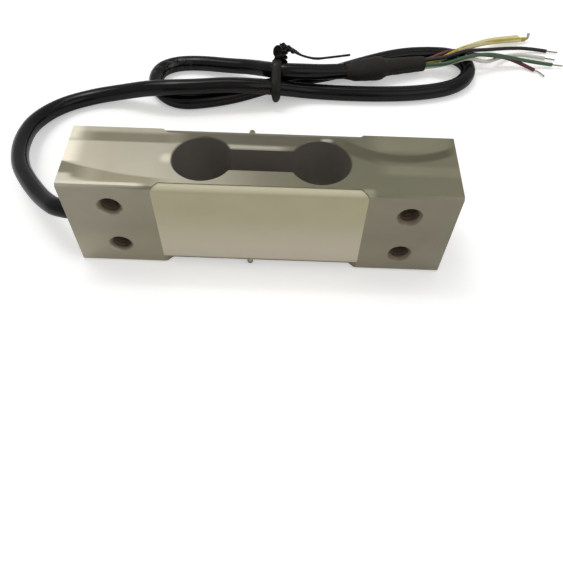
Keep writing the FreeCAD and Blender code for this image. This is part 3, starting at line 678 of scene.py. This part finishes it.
def link(name: str, data: bpy.types.ID, finish: Finish) -> Piece:
    """Makes a piece that rides on the body.

    Args:
        name: The piece's name.
        data: Its mesh or curve.
        finish: Its finish.

    Returns:
        The piece.
    """
    piece = show(name, data)
    dress(piece, finish)
    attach(piece, BODY)
    return piece


# ---- lines and sweeps ----------------------------------------------------------------------------
# How finely a smooth line and a round section are divided, how deep a tube's mouth is sunk, and
# how near each other two points are made one.
LINE_STEPS = 10
ROUND_STEPS = 6
MOUTH_MM = 0.5
MERGE_MM = 0.001


def nurbs_line(name: str, route: Iterable[Place], radius: float) -> bpy.types.Curve:
    """Makes a smooth line with the route's points as its control points.

    Args:
        name: The curve's name.
        route: The points in millimetres.
        radius: Radius of the round section in metres, or 0 for a bare line.

    Returns:
        The curve.
    """
    curve = bpy.data.curves.new(name, "CURVE")
    curve.dimensions = "3D"
    curve.resolution_u = LINE_STEPS
    curve.bevel_depth = radius
    curve.bevel_resolution = ROUND_STEPS
    curve.use_fill_caps = radius > 0
    spline = curve.splines.new("NURBS")
    places = [metres(place) for place in route]
    spline.points.add(len(places) - 1)
    for point, place in zip(spline.points, places):
        point.co = (*place, 1.0)
    spline.order_u = 3
    spline.use_endpoint_u = True
    return curve


def line_places(route: Iterable[Place]) -> list[Vector]:
    """Reads the points of a route's smooth line.

    Args:
        route: The points in millimetres.

    Returns:
        Places along the line, in metres.
    """
    curve = nurbs_line("reading", route, 0.0)
    reader = bpy.data.objects.new("reading", curve)
    mesh = bpy.data.meshes.new_from_object(reader)
    places = [vertex.co.copy() for vertex in mesh.vertices]
    bpy.data.objects.remove(reader)
    bpy.data.meshes.remove(mesh)
    bpy.data.curves.remove(curve)
    return places


def line_length(places: Sequence[Vector]) -> float:
    """Adds up the length of a line."""
    return lengths_along(places)[-1]


def lengths_along(places: Sequence[Vector]) -> list[float]:
    """Gives the length of a line up to each of its places."""
    runs = ((after - before).length for before, after in zip(places, places[1:]))
    return [0.0, *accumulate(runs)]


def start_of(places: Sequence[Vector], length_mm: float) -> list[Vector]:
    """Cuts a line off at its first place past a length."""
    return [place for place, before in zip(places, [0.0, *lengths_along(places)])
            if before <= length_mm * MM]


def frames_along(places: Sequence[Vector], side: Vector) -> list[Matrix]:
    """Builds a frame at each place of a line, carried along it without twisting.

    Args:
        places: The line.
        side: The direction that the first frame's X axis is turned towards.

    Returns:
        One matrix a place, with Z along the line.
    """
    frames = []
    for index, place in enumerate(places):
        before, after = places[max(index - 1, 0)], places[min(index + 1, len(places) - 1)]
        ahead = (after - before).normalized()
        across = (side - ahead * side.dot(ahead)).normalized()
        side = across
        turned = Matrix((across, ahead.cross(across), ahead)).transposed()
        frames.append(Matrix.Translation(place) @ turned.to_4x4())
    return frames


def wound(frames: Sequence[Matrix], start: float, ring_mm: float, pitch_mm: float,
          sizes: Pair = (1.0, 1.0)) -> list[Matrix]:
    """Moves frames out to one strand of a twist.

    Args:
        frames: The frames along the middle of the twist.
        start: The strand's angle at the first frame.
        ring_mm: How far the strand lies from the middle.
        pitch_mm: Length of one turn.
        sizes: How large the twist is at its first and last frame.

    Returns:
        The strand's frames.
    """
    gone = lengths_along([place.translation for place in frames])
    moved = []
    for index, place in enumerate(frames):
        angle = start + 2 * math.pi * gone[index] / (pitch_mm * MM)
        size = sizes[0] + (sizes[1] - sizes[0]) * index / (len(frames) - 1)
        moved.append(place @ Matrix.Rotation(angle, 4, "Z") @ Matrix.Scale(size, 4)
                     @ Matrix.Translation((ring_mm * MM, 0, 0)))
    return moved


def sweep(work: bmesh.types.BMesh, section: list[bmesh.types.BMVert],
          frames: Sequence[Matrix], closed: bool = False) -> None:
    """Draws a flat section out along frames.

    Args:
        work: The mesh being made.
        section: The section's vertices, in order, lying in the first frame's own plane.
        frames: The frames that the section passes through.
        closed: Whether the last frame meets the first.
    """
    edges = [work.edges.get((one, other)) or work.edges.new((one, other))
             for one, other in zip(section, section[1:] + section[:1])]
    first_edges, current = edges, section
    bmesh.ops.transform(work, matrix=frames[0], verts=section)
    for before, after in zip(frames, frames[1:]):
        drawn = bmesh.ops.extrude_edge_only(work, edges=edges)
        edges = [item for item in drawn["geom"] if isinstance(item, bmesh.types.BMEdge)]
        current = [item for item in drawn["geom"] if isinstance(item, bmesh.types.BMVert)]
        bmesh.ops.transform(work, matrix=after @ before.inverted(), verts=current)
    if closed:
        bmesh.ops.bridge_loops(work, edges=edges + first_edges)
    else:
        bmesh.ops.edgeloop_fill(work, edges=first_edges)
        bmesh.ops.edgeloop_fill(work, edges=edges)


def ring(work: bmesh.types.BMesh, radius: float, segments: int) -> list[bmesh.types.BMVert]:
    """Adds a circle of vertices round the origin, in order."""
    return bmesh.ops.create_circle(work, radius=radius, segments=segments)["verts"]


def tube(name: str, line: Sequence[Vector], profile: Callable[[float], float],
         wall_mm: float = 0.35, segments: int = 32,
         flatness: Callable[[float], float] = lambda share: 1.0) -> bpy.types.Mesh:
    """Makes an open tube whose radius changes along a line, with a wall.

    Args:
        name: The mesh's name.
        line: The places that it follows.
        profile: Gives the radius for each share of the line.
        wall_mm: Thickness of the wall at the ends.
        segments: How many sides it has.
        flatness: Gives how many times wider than high it is for each share of the line.

    Returns:
        The tube's mesh.
    """
    work = bmesh.new()
    frames = frames_along(line, Vector((0, 0, 1)))
    gone = lengths_along(line)
    sized = [place @ Matrix.Diagonal((profile(share), profile(share) * flatness(share), 1, 1))
             for place, share in zip(frames, (length / gone[-1] for length in gone))]
    sweep(work, ring(work, 1.0, segments), sized)
    caps = [face for face in work.faces if len(face.verts) > 4]
    bmesh.ops.inset_region(work, faces=caps, thickness=wall_mm * MM)
    bmesh.ops.recalc_face_normals(work, faces=work.faces)
    for face in caps:
        bmesh.ops.translate(work, verts=face.verts, vec=face.normal * -MOUTH_MM * MM)
    return to_mesh(name, work)


def to_mesh(name: str, work: bmesh.types.BMesh, smooth_deg: float = 40.0) -> bpy.types.Mesh:
    """Finishes a mesh: faces outwards, smooth but for its sharp edges.

    Args:
        name: The mesh's name.
        work: The mesh being made.
        smooth_deg: Edges that turn more than this stay sharp.

    Returns:
        The mesh.
    """
    bmesh.ops.remove_doubles(work, verts=work.verts, dist=MERGE_MM * MM)
    bmesh.ops.recalc_face_normals(work, faces=work.faces)
    for face in work.faces:
        face.smooth = True
    for edge in work.edges:
        turn = edge.calc_face_angle(0.0) if len(edge.link_faces) == 2 else 0.0
        edge.smooth = turn < math.radians(smooth_deg)
    mesh = bpy.data.meshes.new(name)
    work.to_mesh(mesh)
    work.free()
    return mesh


# ---- sub-assemblies ------------------------------------------------------------------------------
@dataclass
class Beam:
    """The machined beam, its seals and all that lies under them: CAD nodes with their finishes."""

    groups: type[CadGroup] = CadGroup

    def build(self) -> list[Piece]:
        """Dresses every node.

        Returns:
            The nodes' objects.
        """
        dressed = []
        for finish, *names in (group.value for group in self.groups):
            for name in names:
                dress(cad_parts[name], finish)
                dressed.append(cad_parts[name])
        return dressed


@dataclass
class Sleeves:
    """Two shrink tubes: a wide one over the jacket's end, and a thin one over the leads."""

    lap_mm: float = 5.4
    reach_mm: float = 8.8
    outer_mm: Four = (5.35, 7.3, 8.2, 6.2)
    inner_mm: float = 5.9
    inner_end_mm: float = 5.2
    mouth_back_mm: float = 1.2
    outer_stops: Pair = (0.3, 0.84)
    inner_straight: float = 0.45
    inner_taper: float = 1.4
    ripple_mm: float = 0.1
    ripple_counts: tuple[int, int] = (9, 11)

    def build(self) -> list[Piece]:
        """Makes both sleeves along the cable's own line.

        Returns:
            The two sleeves.
        """
        jacket = line_places(CABLE_ROUTE)
        beyond = line_places(SLEEVE_ROUTE)
        outer_line = (start_of(jacket[::-1], self.lap_mm)[::-1]
                      + start_of(beyond, self.reach_mm))
        gone = lengths_along(beyond)
        short = gone[-1] - self.mouth_back_mm * MM
        inner_line = [place for place, length in zip(beyond, gone) if length < short]
        outer = tube("outer_sleeve", outer_line, self.outer_profile)
        inner = tube("inner_sleeve", inner_line, self.inner_profile)
        made = []
        for mesh, node in ((outer, "outer_shrink_sleeve"), (inner, "inner_shrink_sleeve")):
            piece = link(node + "_tube", mesh, SHRINK)
            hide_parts(node)
            made.append(piece)
        return made

    def outer_profile(self, share: float) -> float:
        """Radius of the outer sleeve in metres, from its lap (0) to its end (1)."""
        lap, shoulder, belly, end = self.outer_mm
        widest, narrowing = self.outer_stops
        stops = [(0.0, lap), (widest, shoulder), (narrowing, belly), (1.0, end)]
        for (before, low), (after, high) in zip(stops, stops[1:]):
            if share <= after:
                part = (share - before) / (after - before)
                eased = part * part * (3 - 2 * part)
                ripple = self.ripple(share, self.ripple_counts[0])
                return (low + (high - low) * eased + ripple) / 2 * MM
        return end / 2 * MM

    def inner_profile(self, share: float) -> float:
        """Radius of the inner sleeve in metres, from the jacket (0) to its end (1)."""
        past = max(0.0, (share - self.inner_straight) / (1 - self.inner_straight))
        drawn_in = (self.inner_end_mm - self.inner_mm) * past ** self.inner_taper
        ripple = self.ripple(share, self.ripple_counts[1])
        return (self.inner_mm + drawn_in + ripple) / 2 * MM

    def ripple(self, share: float, count: int) -> float:
        """Unevenness of a shrunk tube's diameter, in millimetres, strongest at its middle."""
        return self.ripple_mm * math.sin(count * math.pi * share) * math.sin(math.pi * share)


@dataclass
class Lead:
    """One insulated lead: its place in the sleeve's ring, its route and its bare tip."""

    name: str
    place: int
    diameter_mm: float
    finish: Finish
    slot: str
    free_route: list[Place]
    tip_route: list[Place]
    ring_mm: float = 1.45
    lead_count: int = 5
    strand_mm: float = 0.2
    strand_ring_mm: float = 0.2
    strand_pitch_mm: float = 4.0
    strand_count: int = 6
    sleeving_mm: Pair = (0.0, 0.0)
    sleeving_thickness_mm: float = 1.6
    sleeving_shift: Place = (0.0, 1.0, -0.1)
    sleeving_span: Pair = (0.5, 0.975)
    sleeving_settle: float = 1.4
    sleeving_wall_mm: float = 0.2
    sleeving_sides: int = 20
    strand_inset: float = 0.15
    strand_sides: int = 8

    def route(self) -> list[Place]:
        """All the lead's points: inside the sleeve, then its free route."""
        angle = math.radians(90 + self.place * 360 / self.lead_count)
        offset = (0.0, self.ring_mm * math.cos(angle), self.ring_mm * math.sin(angle))
        inside = [tuple(value + step for value, step in zip(place, offset))
                  for place in SLEEVE_ROUTE]
        return inside + self.free_route

    def build(self) -> list[Piece]:
        """Makes the insulation, the bare strands and, where the lead has it, the sleeving.

        Returns:
            The pieces.
        """
        route = self.route()
        curve = nurbs_line(self.name, route, self.diameter_mm / 2 * MM)
        piece = link(self.name + "_insulation", curve, self.finish)
        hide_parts(self.name + "_lead")
        tip = link(self.name + "_strands", self.strands(), TINNED)
        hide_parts(self.name + "_tip")
        sleeving = self.sleeving(route)
        line_length(line_places(route))
        return [piece, tip] + sleeving

    def sleeving(self, route: list[Place]) -> list[Piece]:
        """Makes the pale sleeving that is slit and spread flat behind a lead's end.

        Args:
            route: The lead's points.

        Returns:
            The sleeving, or nothing.
        """
        narrow, wide = self.sleeving_mm
        if wide == 0.0:
            return []
        line = line_places(route)
        gone = lengths_along(line)
        start, end = self.sleeving_span
        spread = [((length / gone[-1] - start) / (end - start), place)
                  for length, place in zip(gone, line) if start < length / gone[-1] < end]
        behind = [place + metres(self.sleeving_shift) * min(1.0, self.sleeving_settle * share)
                  for share, place in spread]
        mesh = tube(self.name + "_sleeving", behind,
                    lambda share: self.sleeving_thickness_mm / 2 * MM,
                    self.sleeving_wall_mm, self.sleeving_sides,
                    lambda share: (narrow + (wide - narrow) * share)
                    / self.sleeving_thickness_mm)
        piece = link(self.name + "_sleeving", mesh, SLEEVING)
        return [piece]

    def strands(self) -> bpy.types.Mesh:
        """Makes the twisted bare strands: one in the middle and a ring round it."""
        end = self.free_route[-1]
        back = [end[axis] - self.strand_inset * self.tip_route[0][axis] for axis in range(3)]
        outward = [tuple(end[axis] + step[axis] for axis in range(3)) for step in self.tip_route]
        line = line_places([tuple(back), end] + outward)
        frames = frames_along(line, Vector((0, 0, 1)))
        work = bmesh.new()
        radius = self.strand_mm / 2 * MM
        sweep(work, ring(work, radius, self.strand_sides), frames)
        for strand in range(self.strand_count):
            start = 2 * math.pi * strand / self.strand_count
            sweep(work, ring(work, radius, self.strand_sides),
                  wound(frames, start, self.strand_ring_mm, self.strand_pitch_mm))
        return to_mesh(self.name + "_strands", work)


@dataclass
class TwistTie:
    """A plastic ribbon with a wire in it, wrapped round the cable and twisted shut."""

    x_mm: float = 1.8
    width_mm: float = 3.2
    thickness_mm: float = 0.8
    clearance_mm: float = 0.25
    cable_mm: float = 5.2
    slack_mm: float = 0.9
    lean_deg: float = 37.4
    stem_start: Place = (3.0, 67.7, 11.3)
    stem_end: Place = (3.5, 73.0, 12.8)
    strand_mm: float = 1.9
    strand_ring_mm: float = 0.7
    twist_pitch_mm: float = 3.8
    stem_sizes: Pair = (1.5, 1.2)
    tail_sizes: Pair = (1.15, 0.4)
    tail_twist_mm: float = 6.0
    curl_at: Place = (1.9, 70.2, 13.2)
    curl_mm: Pair = (1.45, 0.3)
    curl_stretch: float = 1.4
    curl_turns: float = 2.4
    curl_width_mm: float = 2.8
    curl_places: int = 57
    pinch: float = 0.5
    pinch_power: int = 6
    band_steps: tuple[int, int] = (72, 64)
    section_sides: int = 16
    beam_side_mm: float = 20.0

    def ribbon(self, name: str, line: Sequence[Vector], width_way: Vector, width_mm: float,
               closed: bool = False) -> bpy.types.Mesh:
        """Makes a length of ribbon: rounded, and thickest over the wire in its middle.

        Args:
            name: The mesh's name.
            line: The places that it follows.
            width_way: The direction that its width lies along at the start.
            width_mm: Its width.
            closed: Whether it closes on itself.

        Returns:
            The ribbon's mesh.
        """
        work = bmesh.new()
        section = ring(work, 0.5 * MM, self.section_sides)
        bmesh.ops.scale(work, vec=(width_mm, self.thickness_mm, 1), verts=section)
        frames = frames_along(line, width_way)
        if closed:
            frames = self.pinched(frames)
        sweep(work, section, frames, closed)
        return to_mesh(name, work, smooth_deg=60.0)

    def pinched(self, frames: Sequence[Matrix]) -> list[Matrix]:
        """Narrows the band where it turns under the cable's front run.

        Args:
            frames: The frames along the closed band.

        Returns:
            The narrowed frames.
        """
        middle = sum((place.translation for place in frames), Vector()) / len(frames)
        lowest = min(place.translation.y + place.translation.z for place in frames)
        reach = middle.y + middle.z - lowest
        narrowed = []
        for place in frames:
            down = max(0.0, (middle.y + middle.z - place.translation.y
                             - place.translation.z) / reach)
            kept = 1 - self.pinch * down ** self.pinch_power
            narrowed.append(place @ Matrix.Scale(kept, 4, (1, 0, 0)))
        return narrowed

    def twist(self, lines: Sequence[tuple[Sequence[Vector], Pair]]) -> bpy.types.Mesh:
        """Makes the two ends where they are twisted about each other.

        Args:
            lines: The middles of the twisted lengths, with their sizes at both ends.

        Returns:
            Their mesh.
        """
        work = bmesh.new()
        for line, sizes in lines:
            frames = frames_along(line, Vector((1, 0, 0)))
            for start in (0.0, math.pi):
                sweep(work, ring(work, self.strand_mm / 2 * MM, self.section_sides),
                      wound(frames, start, self.strand_ring_mm, self.twist_pitch_mm, sizes))
        return to_mesh("tie_stem", work, smooth_deg=70.0)

    def crossings(self) -> list[Vector]:
        """Where the cable's line passes through the tie's plane, front first."""
        line = line_places(CABLE_ROUTE)
        x, beam_side = self.x_mm * MM, self.beam_side_mm * MM
        met = []
        for before, after in zip(line, line[1:]):
            if (before.x - x) * (after.x - x) <= 0 and before.y > beam_side:
                share = (x - before.x) / (after.x - before.x)
                met.append(before.lerp(after, share))
        met.sort(key=lambda place: place.y)
        return [met[0]] + sorted(met[1:], key=lambda place: place.z)

    def band_line(self) -> list[Vector]:
        """The closed line of the band: round the three runs, with some slack below."""
        front, under, top = self.crossings()
        slack = front + Vector((0, -self.slack_mm, -self.slack_mm)) * MM
        centres = [front, slack, under, top]
        reach = (self.cable_mm / 2 + self.clearance_mm + self.thickness_mm / 2) * MM
        middle = sum(centres, Vector()) / len(centres)
        places = []
        steps, count = self.band_steps
        for step in range(steps):
            angle = 2 * math.pi * step / steps
            out = Vector((0, math.cos(angle), math.sin(angle)))
            far = max(centres, key=lambda place: (place - middle).dot(out))
            places.append(far + out * reach)
        return self.evened(places, count)

    @staticmethod
    def evened(places: Sequence[Vector], count: int) -> list[Vector]:
        """Spaces a closed line's places evenly.

        Args:
            places: The closed line.
            count: How many places to give.

        Returns:
            The places.
        """
        looped = list(places) + [places[0]]
        gone = lengths_along(looped)
        even = []
        for step in range(count):
            target = gone[-1] * step / count
            index = bisect_left(gone, target, 1) - 1
            run = gone[index + 1] - gone[index]
            even.append(looped[index].lerp(looped[index + 1], (target - gone[index]) / run))
        return even

    def build(self) -> list[Piece]:
        """Makes the band, the twisted stem, the long free end and the short curled one.

        Returns:
            The pieces.
        """
        lean = math.radians(self.lean_deg)
        across = Vector((0, -math.cos(lean), math.sin(lean)))
        middle = tuple((a + b) / 2 for a, b in zip(self.stem_start, self.stem_end))
        stem = line_places([self.stem_start, middle, self.stem_end])
        tail = line_places(TIE_TAIL)
        twisted = [place for place, length in zip(tail, lengths_along(tail))
                   if length < self.tail_twist_mm * MM]
        pieces = []
        for mesh in (
            self.ribbon("tie_band", self.band_line(), Vector((1, 0, 0)), self.width_mm, True),
            self.twist(((stem, self.stem_sizes), (twisted, self.tail_sizes))),
            self.ribbon("tie_free_end", tail, across, self.width_mm),
            self.ribbon("tie_curled_end", self.curl(), across, self.curl_width_mm),
        ):
            piece = link(mesh.name, mesh, TIE_PLASTIC)
            pieces.append(piece)
        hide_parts("tie_strap")
        dress(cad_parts["tie_core_wire"], STEEL_WIRE)
        return pieces

    def curl(self) -> list[Vector]:
        """The line of the short end, rolled up beside the stem's top."""
        lean = math.radians(self.lean_deg)
        ahead = Vector((0, math.sin(lean), math.cos(lean)))
        centre = metres(self.curl_at)
        places = []
        for step in range(self.curl_places):
            share = step / (self.curl_places - 1)
            angle = 2 * math.pi * self.curl_turns * share
            radius = (self.curl_mm[0] + (self.curl_mm[1] - self.curl_mm[0]) * share) * MM
            out = Vector((math.cos(angle), 0, 0)) + ahead * math.sin(angle) * self.curl_stretch
            places.append(centre + out * radius)
        return places


@dataclass
class Cable:
    """The jacketed cable with its sleeves, leads and tie."""

    diameter_mm: float = 5.2
    leads: list[Lead] = field(default_factory=lambda: [
        Lead("black", 0, 1.3, BLACK_LEAD, "black_insulation",
             [(62.5, 79.6, 7.1), (69.5, 82.2, 8.3), (78, 87.6, 5.2), (88, 92.6, 2.9),
              (97, 95.4, 1.4), (104, 94.6, 0.9)], [(4.2, -0.5, -0.1)]),
        Lead("green", 1, 1.3, GREEN_LEAD, "green_insulation",
             [(62.4, 77.4, 5.7), (69.8, 80, 7.5), (79, 83.4, 6.5), (88, 84.9, 4.1),
              (97, 85.7, 2), (104, 85.6, 1.3)], [(4, -0.1, -0.3)]),
        Lead("white", 2, 1.3, WHITE_LEAD, "white_insulation",
             [(62.9, 79, 4.4), (71, 81, 6.4), (77.7, 81, 4.3), (85, 88.3, 1.9),
              (91.5, 91, 1.5), (97.5, 90.8, 1.1), (102.3, 90.1, 0.9)], [(3.8, -0.7, -0.1)]),
        Lead("shield", 3, 1.6, YELLOW_LEAD, "yellow_insulation",
             [(61.6, 81.1, 5.4), (67.4, 83, 8.1), (73.3, 87.6, 6.6), (81, 95.4, 3.2),
              (90, 99.4, 1.8), (97, 101.2, 1.4)], [(1.2, 0.4, 0.3), (1.3, 1.6, 1.6)],
             strand_mm=0.32, strand_ring_mm=0.34, sleeving_mm=(1.8, 4.2)),
        Lead("red", 4, 1.3, RED_LEAD, "red_insulation",
             [(60.9, 83, 5.9), (66, 84.9, 6.7), (72.4, 84.7, 5.2), (79, 84.5, 5.2),
              (86, 86, 3.5), (91.8, 85.5, 1.7), (97, 82.6, 0.8)],
             [(1.8, -1.05, -0.1), (3.0, -3.4, -0.1)]),
    ])

    def build(self) -> list[Piece]:
        """Makes the cable and everything on it.

        Returns:
            The pieces.
        """
        curve = nurbs_line("cable_jacket", CABLE_ROUTE, self.diameter_mm / 2 * MM)
        jacket = link("cable_jacket", curve, JACKET)
        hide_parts("lead_cable")
        sleeves = Sleeves().build()
        tie = TwistTie().build()
        line_length(line_places(CABLE_ROUTE))
        return [jacket, *sleeves, *tie, *(piece for lead in self.leads for piece in lead.build())]


# ---- stage ---------------------------------------------------------------------------------------
@dataclass(frozen=True)
class Lamp:
    """A large soft lamp that faces the object: its place, two sides and power in watts."""

    name: str
    place: Place
    sides: Pair
    watts: float

    def build(self) -> Piece:
        """Makes the lamp.

        Returns:
            The lamp's object.
        """
        light = bpy.data.lights.new(self.name, "AREA")
        light.shape = "RECTANGLE"
        light.size, light.size_y = self.sides
        light.energy = self.watts
        lamp = show(self.name, light)
        lamp.location = self.place
        lamp.rotation_euler = (-lamp.location).to_track_quat("-Z", "Y").to_euler()
        return lamp


@dataclass
class Stage:
    """A pale floor, soft lamps and the camera."""

    camera_place: Place = (0.0065538, -0.1113848, 0.1367326)
    camera_right: Place = (0.99937176, 0.03053288, 0.01799537)
    camera_up: Place = (-0.03534218, 0.82059415, 0.57041754)
    sensor_mm: float = 36.0
    lens_mm: float = 38.241
    floor_size: float = 6.0
    floor_tone: str = "F6F6F5"
    floor_glow: float = 0.38
    sky_strength: float = 0.44
    sky_tone: str = "FFFFFF"
    floor_roughness: float = 0.9
    near_clip: float = 0.01
    lamps: tuple[Lamp, ...] = (
        Lamp("key_lamp", (-0.28, 0.3, 1.15), (0.28, 0.28), 1.5),
        Lamp("broad_lamp", (-0.35, 0.35, 1.15), (0.8, 0.8), 2.9),
        Lamp("strip_lamp", (0.0, 0.32, 1.15), (2.0, 0.05), 1.2),
        Lamp("fill_lamp", (0.7, -0.7, 0.9), (0.9, 0.9), 1.6),
    )

    def build(self) -> list[Piece]:
        """Makes the world's light, the floor, the lamps and the camera.

        Returns:
            The stage's objects.
        """
        self.build_world()
        bpy.context.scene.view_settings.view_transform = "Standard"
        return [self.build_floor(), *(lamp.build() for lamp in self.lamps), self.build_camera()]

    def build_floor(self) -> Piece:
        """Makes the floor, which shows the camera a plain pale tone but for the shadows.

        Returns:
            The floor.
        """
        work = bmesh.new()
        bmesh.ops.create_grid(work, x_segments=1, y_segments=1, size=self.floor_size / 2)
        mesh = bpy.data.meshes.new("floor")
        work.to_mesh(mesh)
        work.free()
        paper = bpy.data.materials.new("matt_white_card")
        paper.use_nodes = True
        tree = paper.node_tree
        shader = tree.nodes["Principled BSDF"]
        shader.inputs["Base Color"].default_value = linear(self.floor_tone)
        shader.inputs["Roughness"].default_value = self.floor_roughness
        shader.inputs["Specular IOR Level"].default_value = 0.0
        path = add_node(tree, "LightPath").node
        glow = add_node(tree, "Math", {"operation": "MULTIPLY", 1: self.floor_glow},
                        {0: path.outputs["Is Camera Ray"]})
        shader.inputs["Emission Color"].default_value = (1, 1, 1, 1)
        tree.links.new(glow, shader.inputs["Emission Strength"])
        mesh.materials.append(paper)
        floor = show("floor", mesh)
        return floor

    def build_world(self) -> None:
        """Makes the even light of the room."""
        world = bpy.data.worlds.new("even_room")
        world.use_nodes = True
        tree = world.node_tree
        back = tree.nodes["Background"]
        back.inputs["Color"].default_value = linear(self.sky_tone)
        path = add_node(tree, "LightPath").node
        strength = add_node(tree, "MapRange", {"To Min": self.sky_strength, "To Max": 1.0},
                            {0: path.outputs["Is Camera Ray"]})
        tree.links.new(strength, back.inputs["Strength"])
        bpy.context.scene.world = world

    def build_camera(self) -> Piece:
        """Makes the camera.

        Returns:
            The camera.
        """
        data = bpy.data.cameras.new("camera")
        data.sensor_width = self.sensor_mm
        data.lens = self.lens_mm
        data.clip_start = self.near_clip
        right, up = Vector(self.camera_right), Vector(self.camera_up)
        turned = Matrix((right, up, right.cross(up))).transposed().to_4x4()
        camera = show("camera", data)
        camera.matrix_world = Matrix.Translation(self.camera_place) @ turned
        bpy.context.scene.camera = camera
        return camera


def main() -> None:
    """Builds the stage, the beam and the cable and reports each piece."""
    logging.basicConfig(level=logging.INFO, format="%(name)s: %(message)s")
    for assembly in (Stage(), Beam(), Cable()):
        for piece in assembly.build():
            LOG.info("made %s", piece.name)


if __name__ == "__main__":
    main()
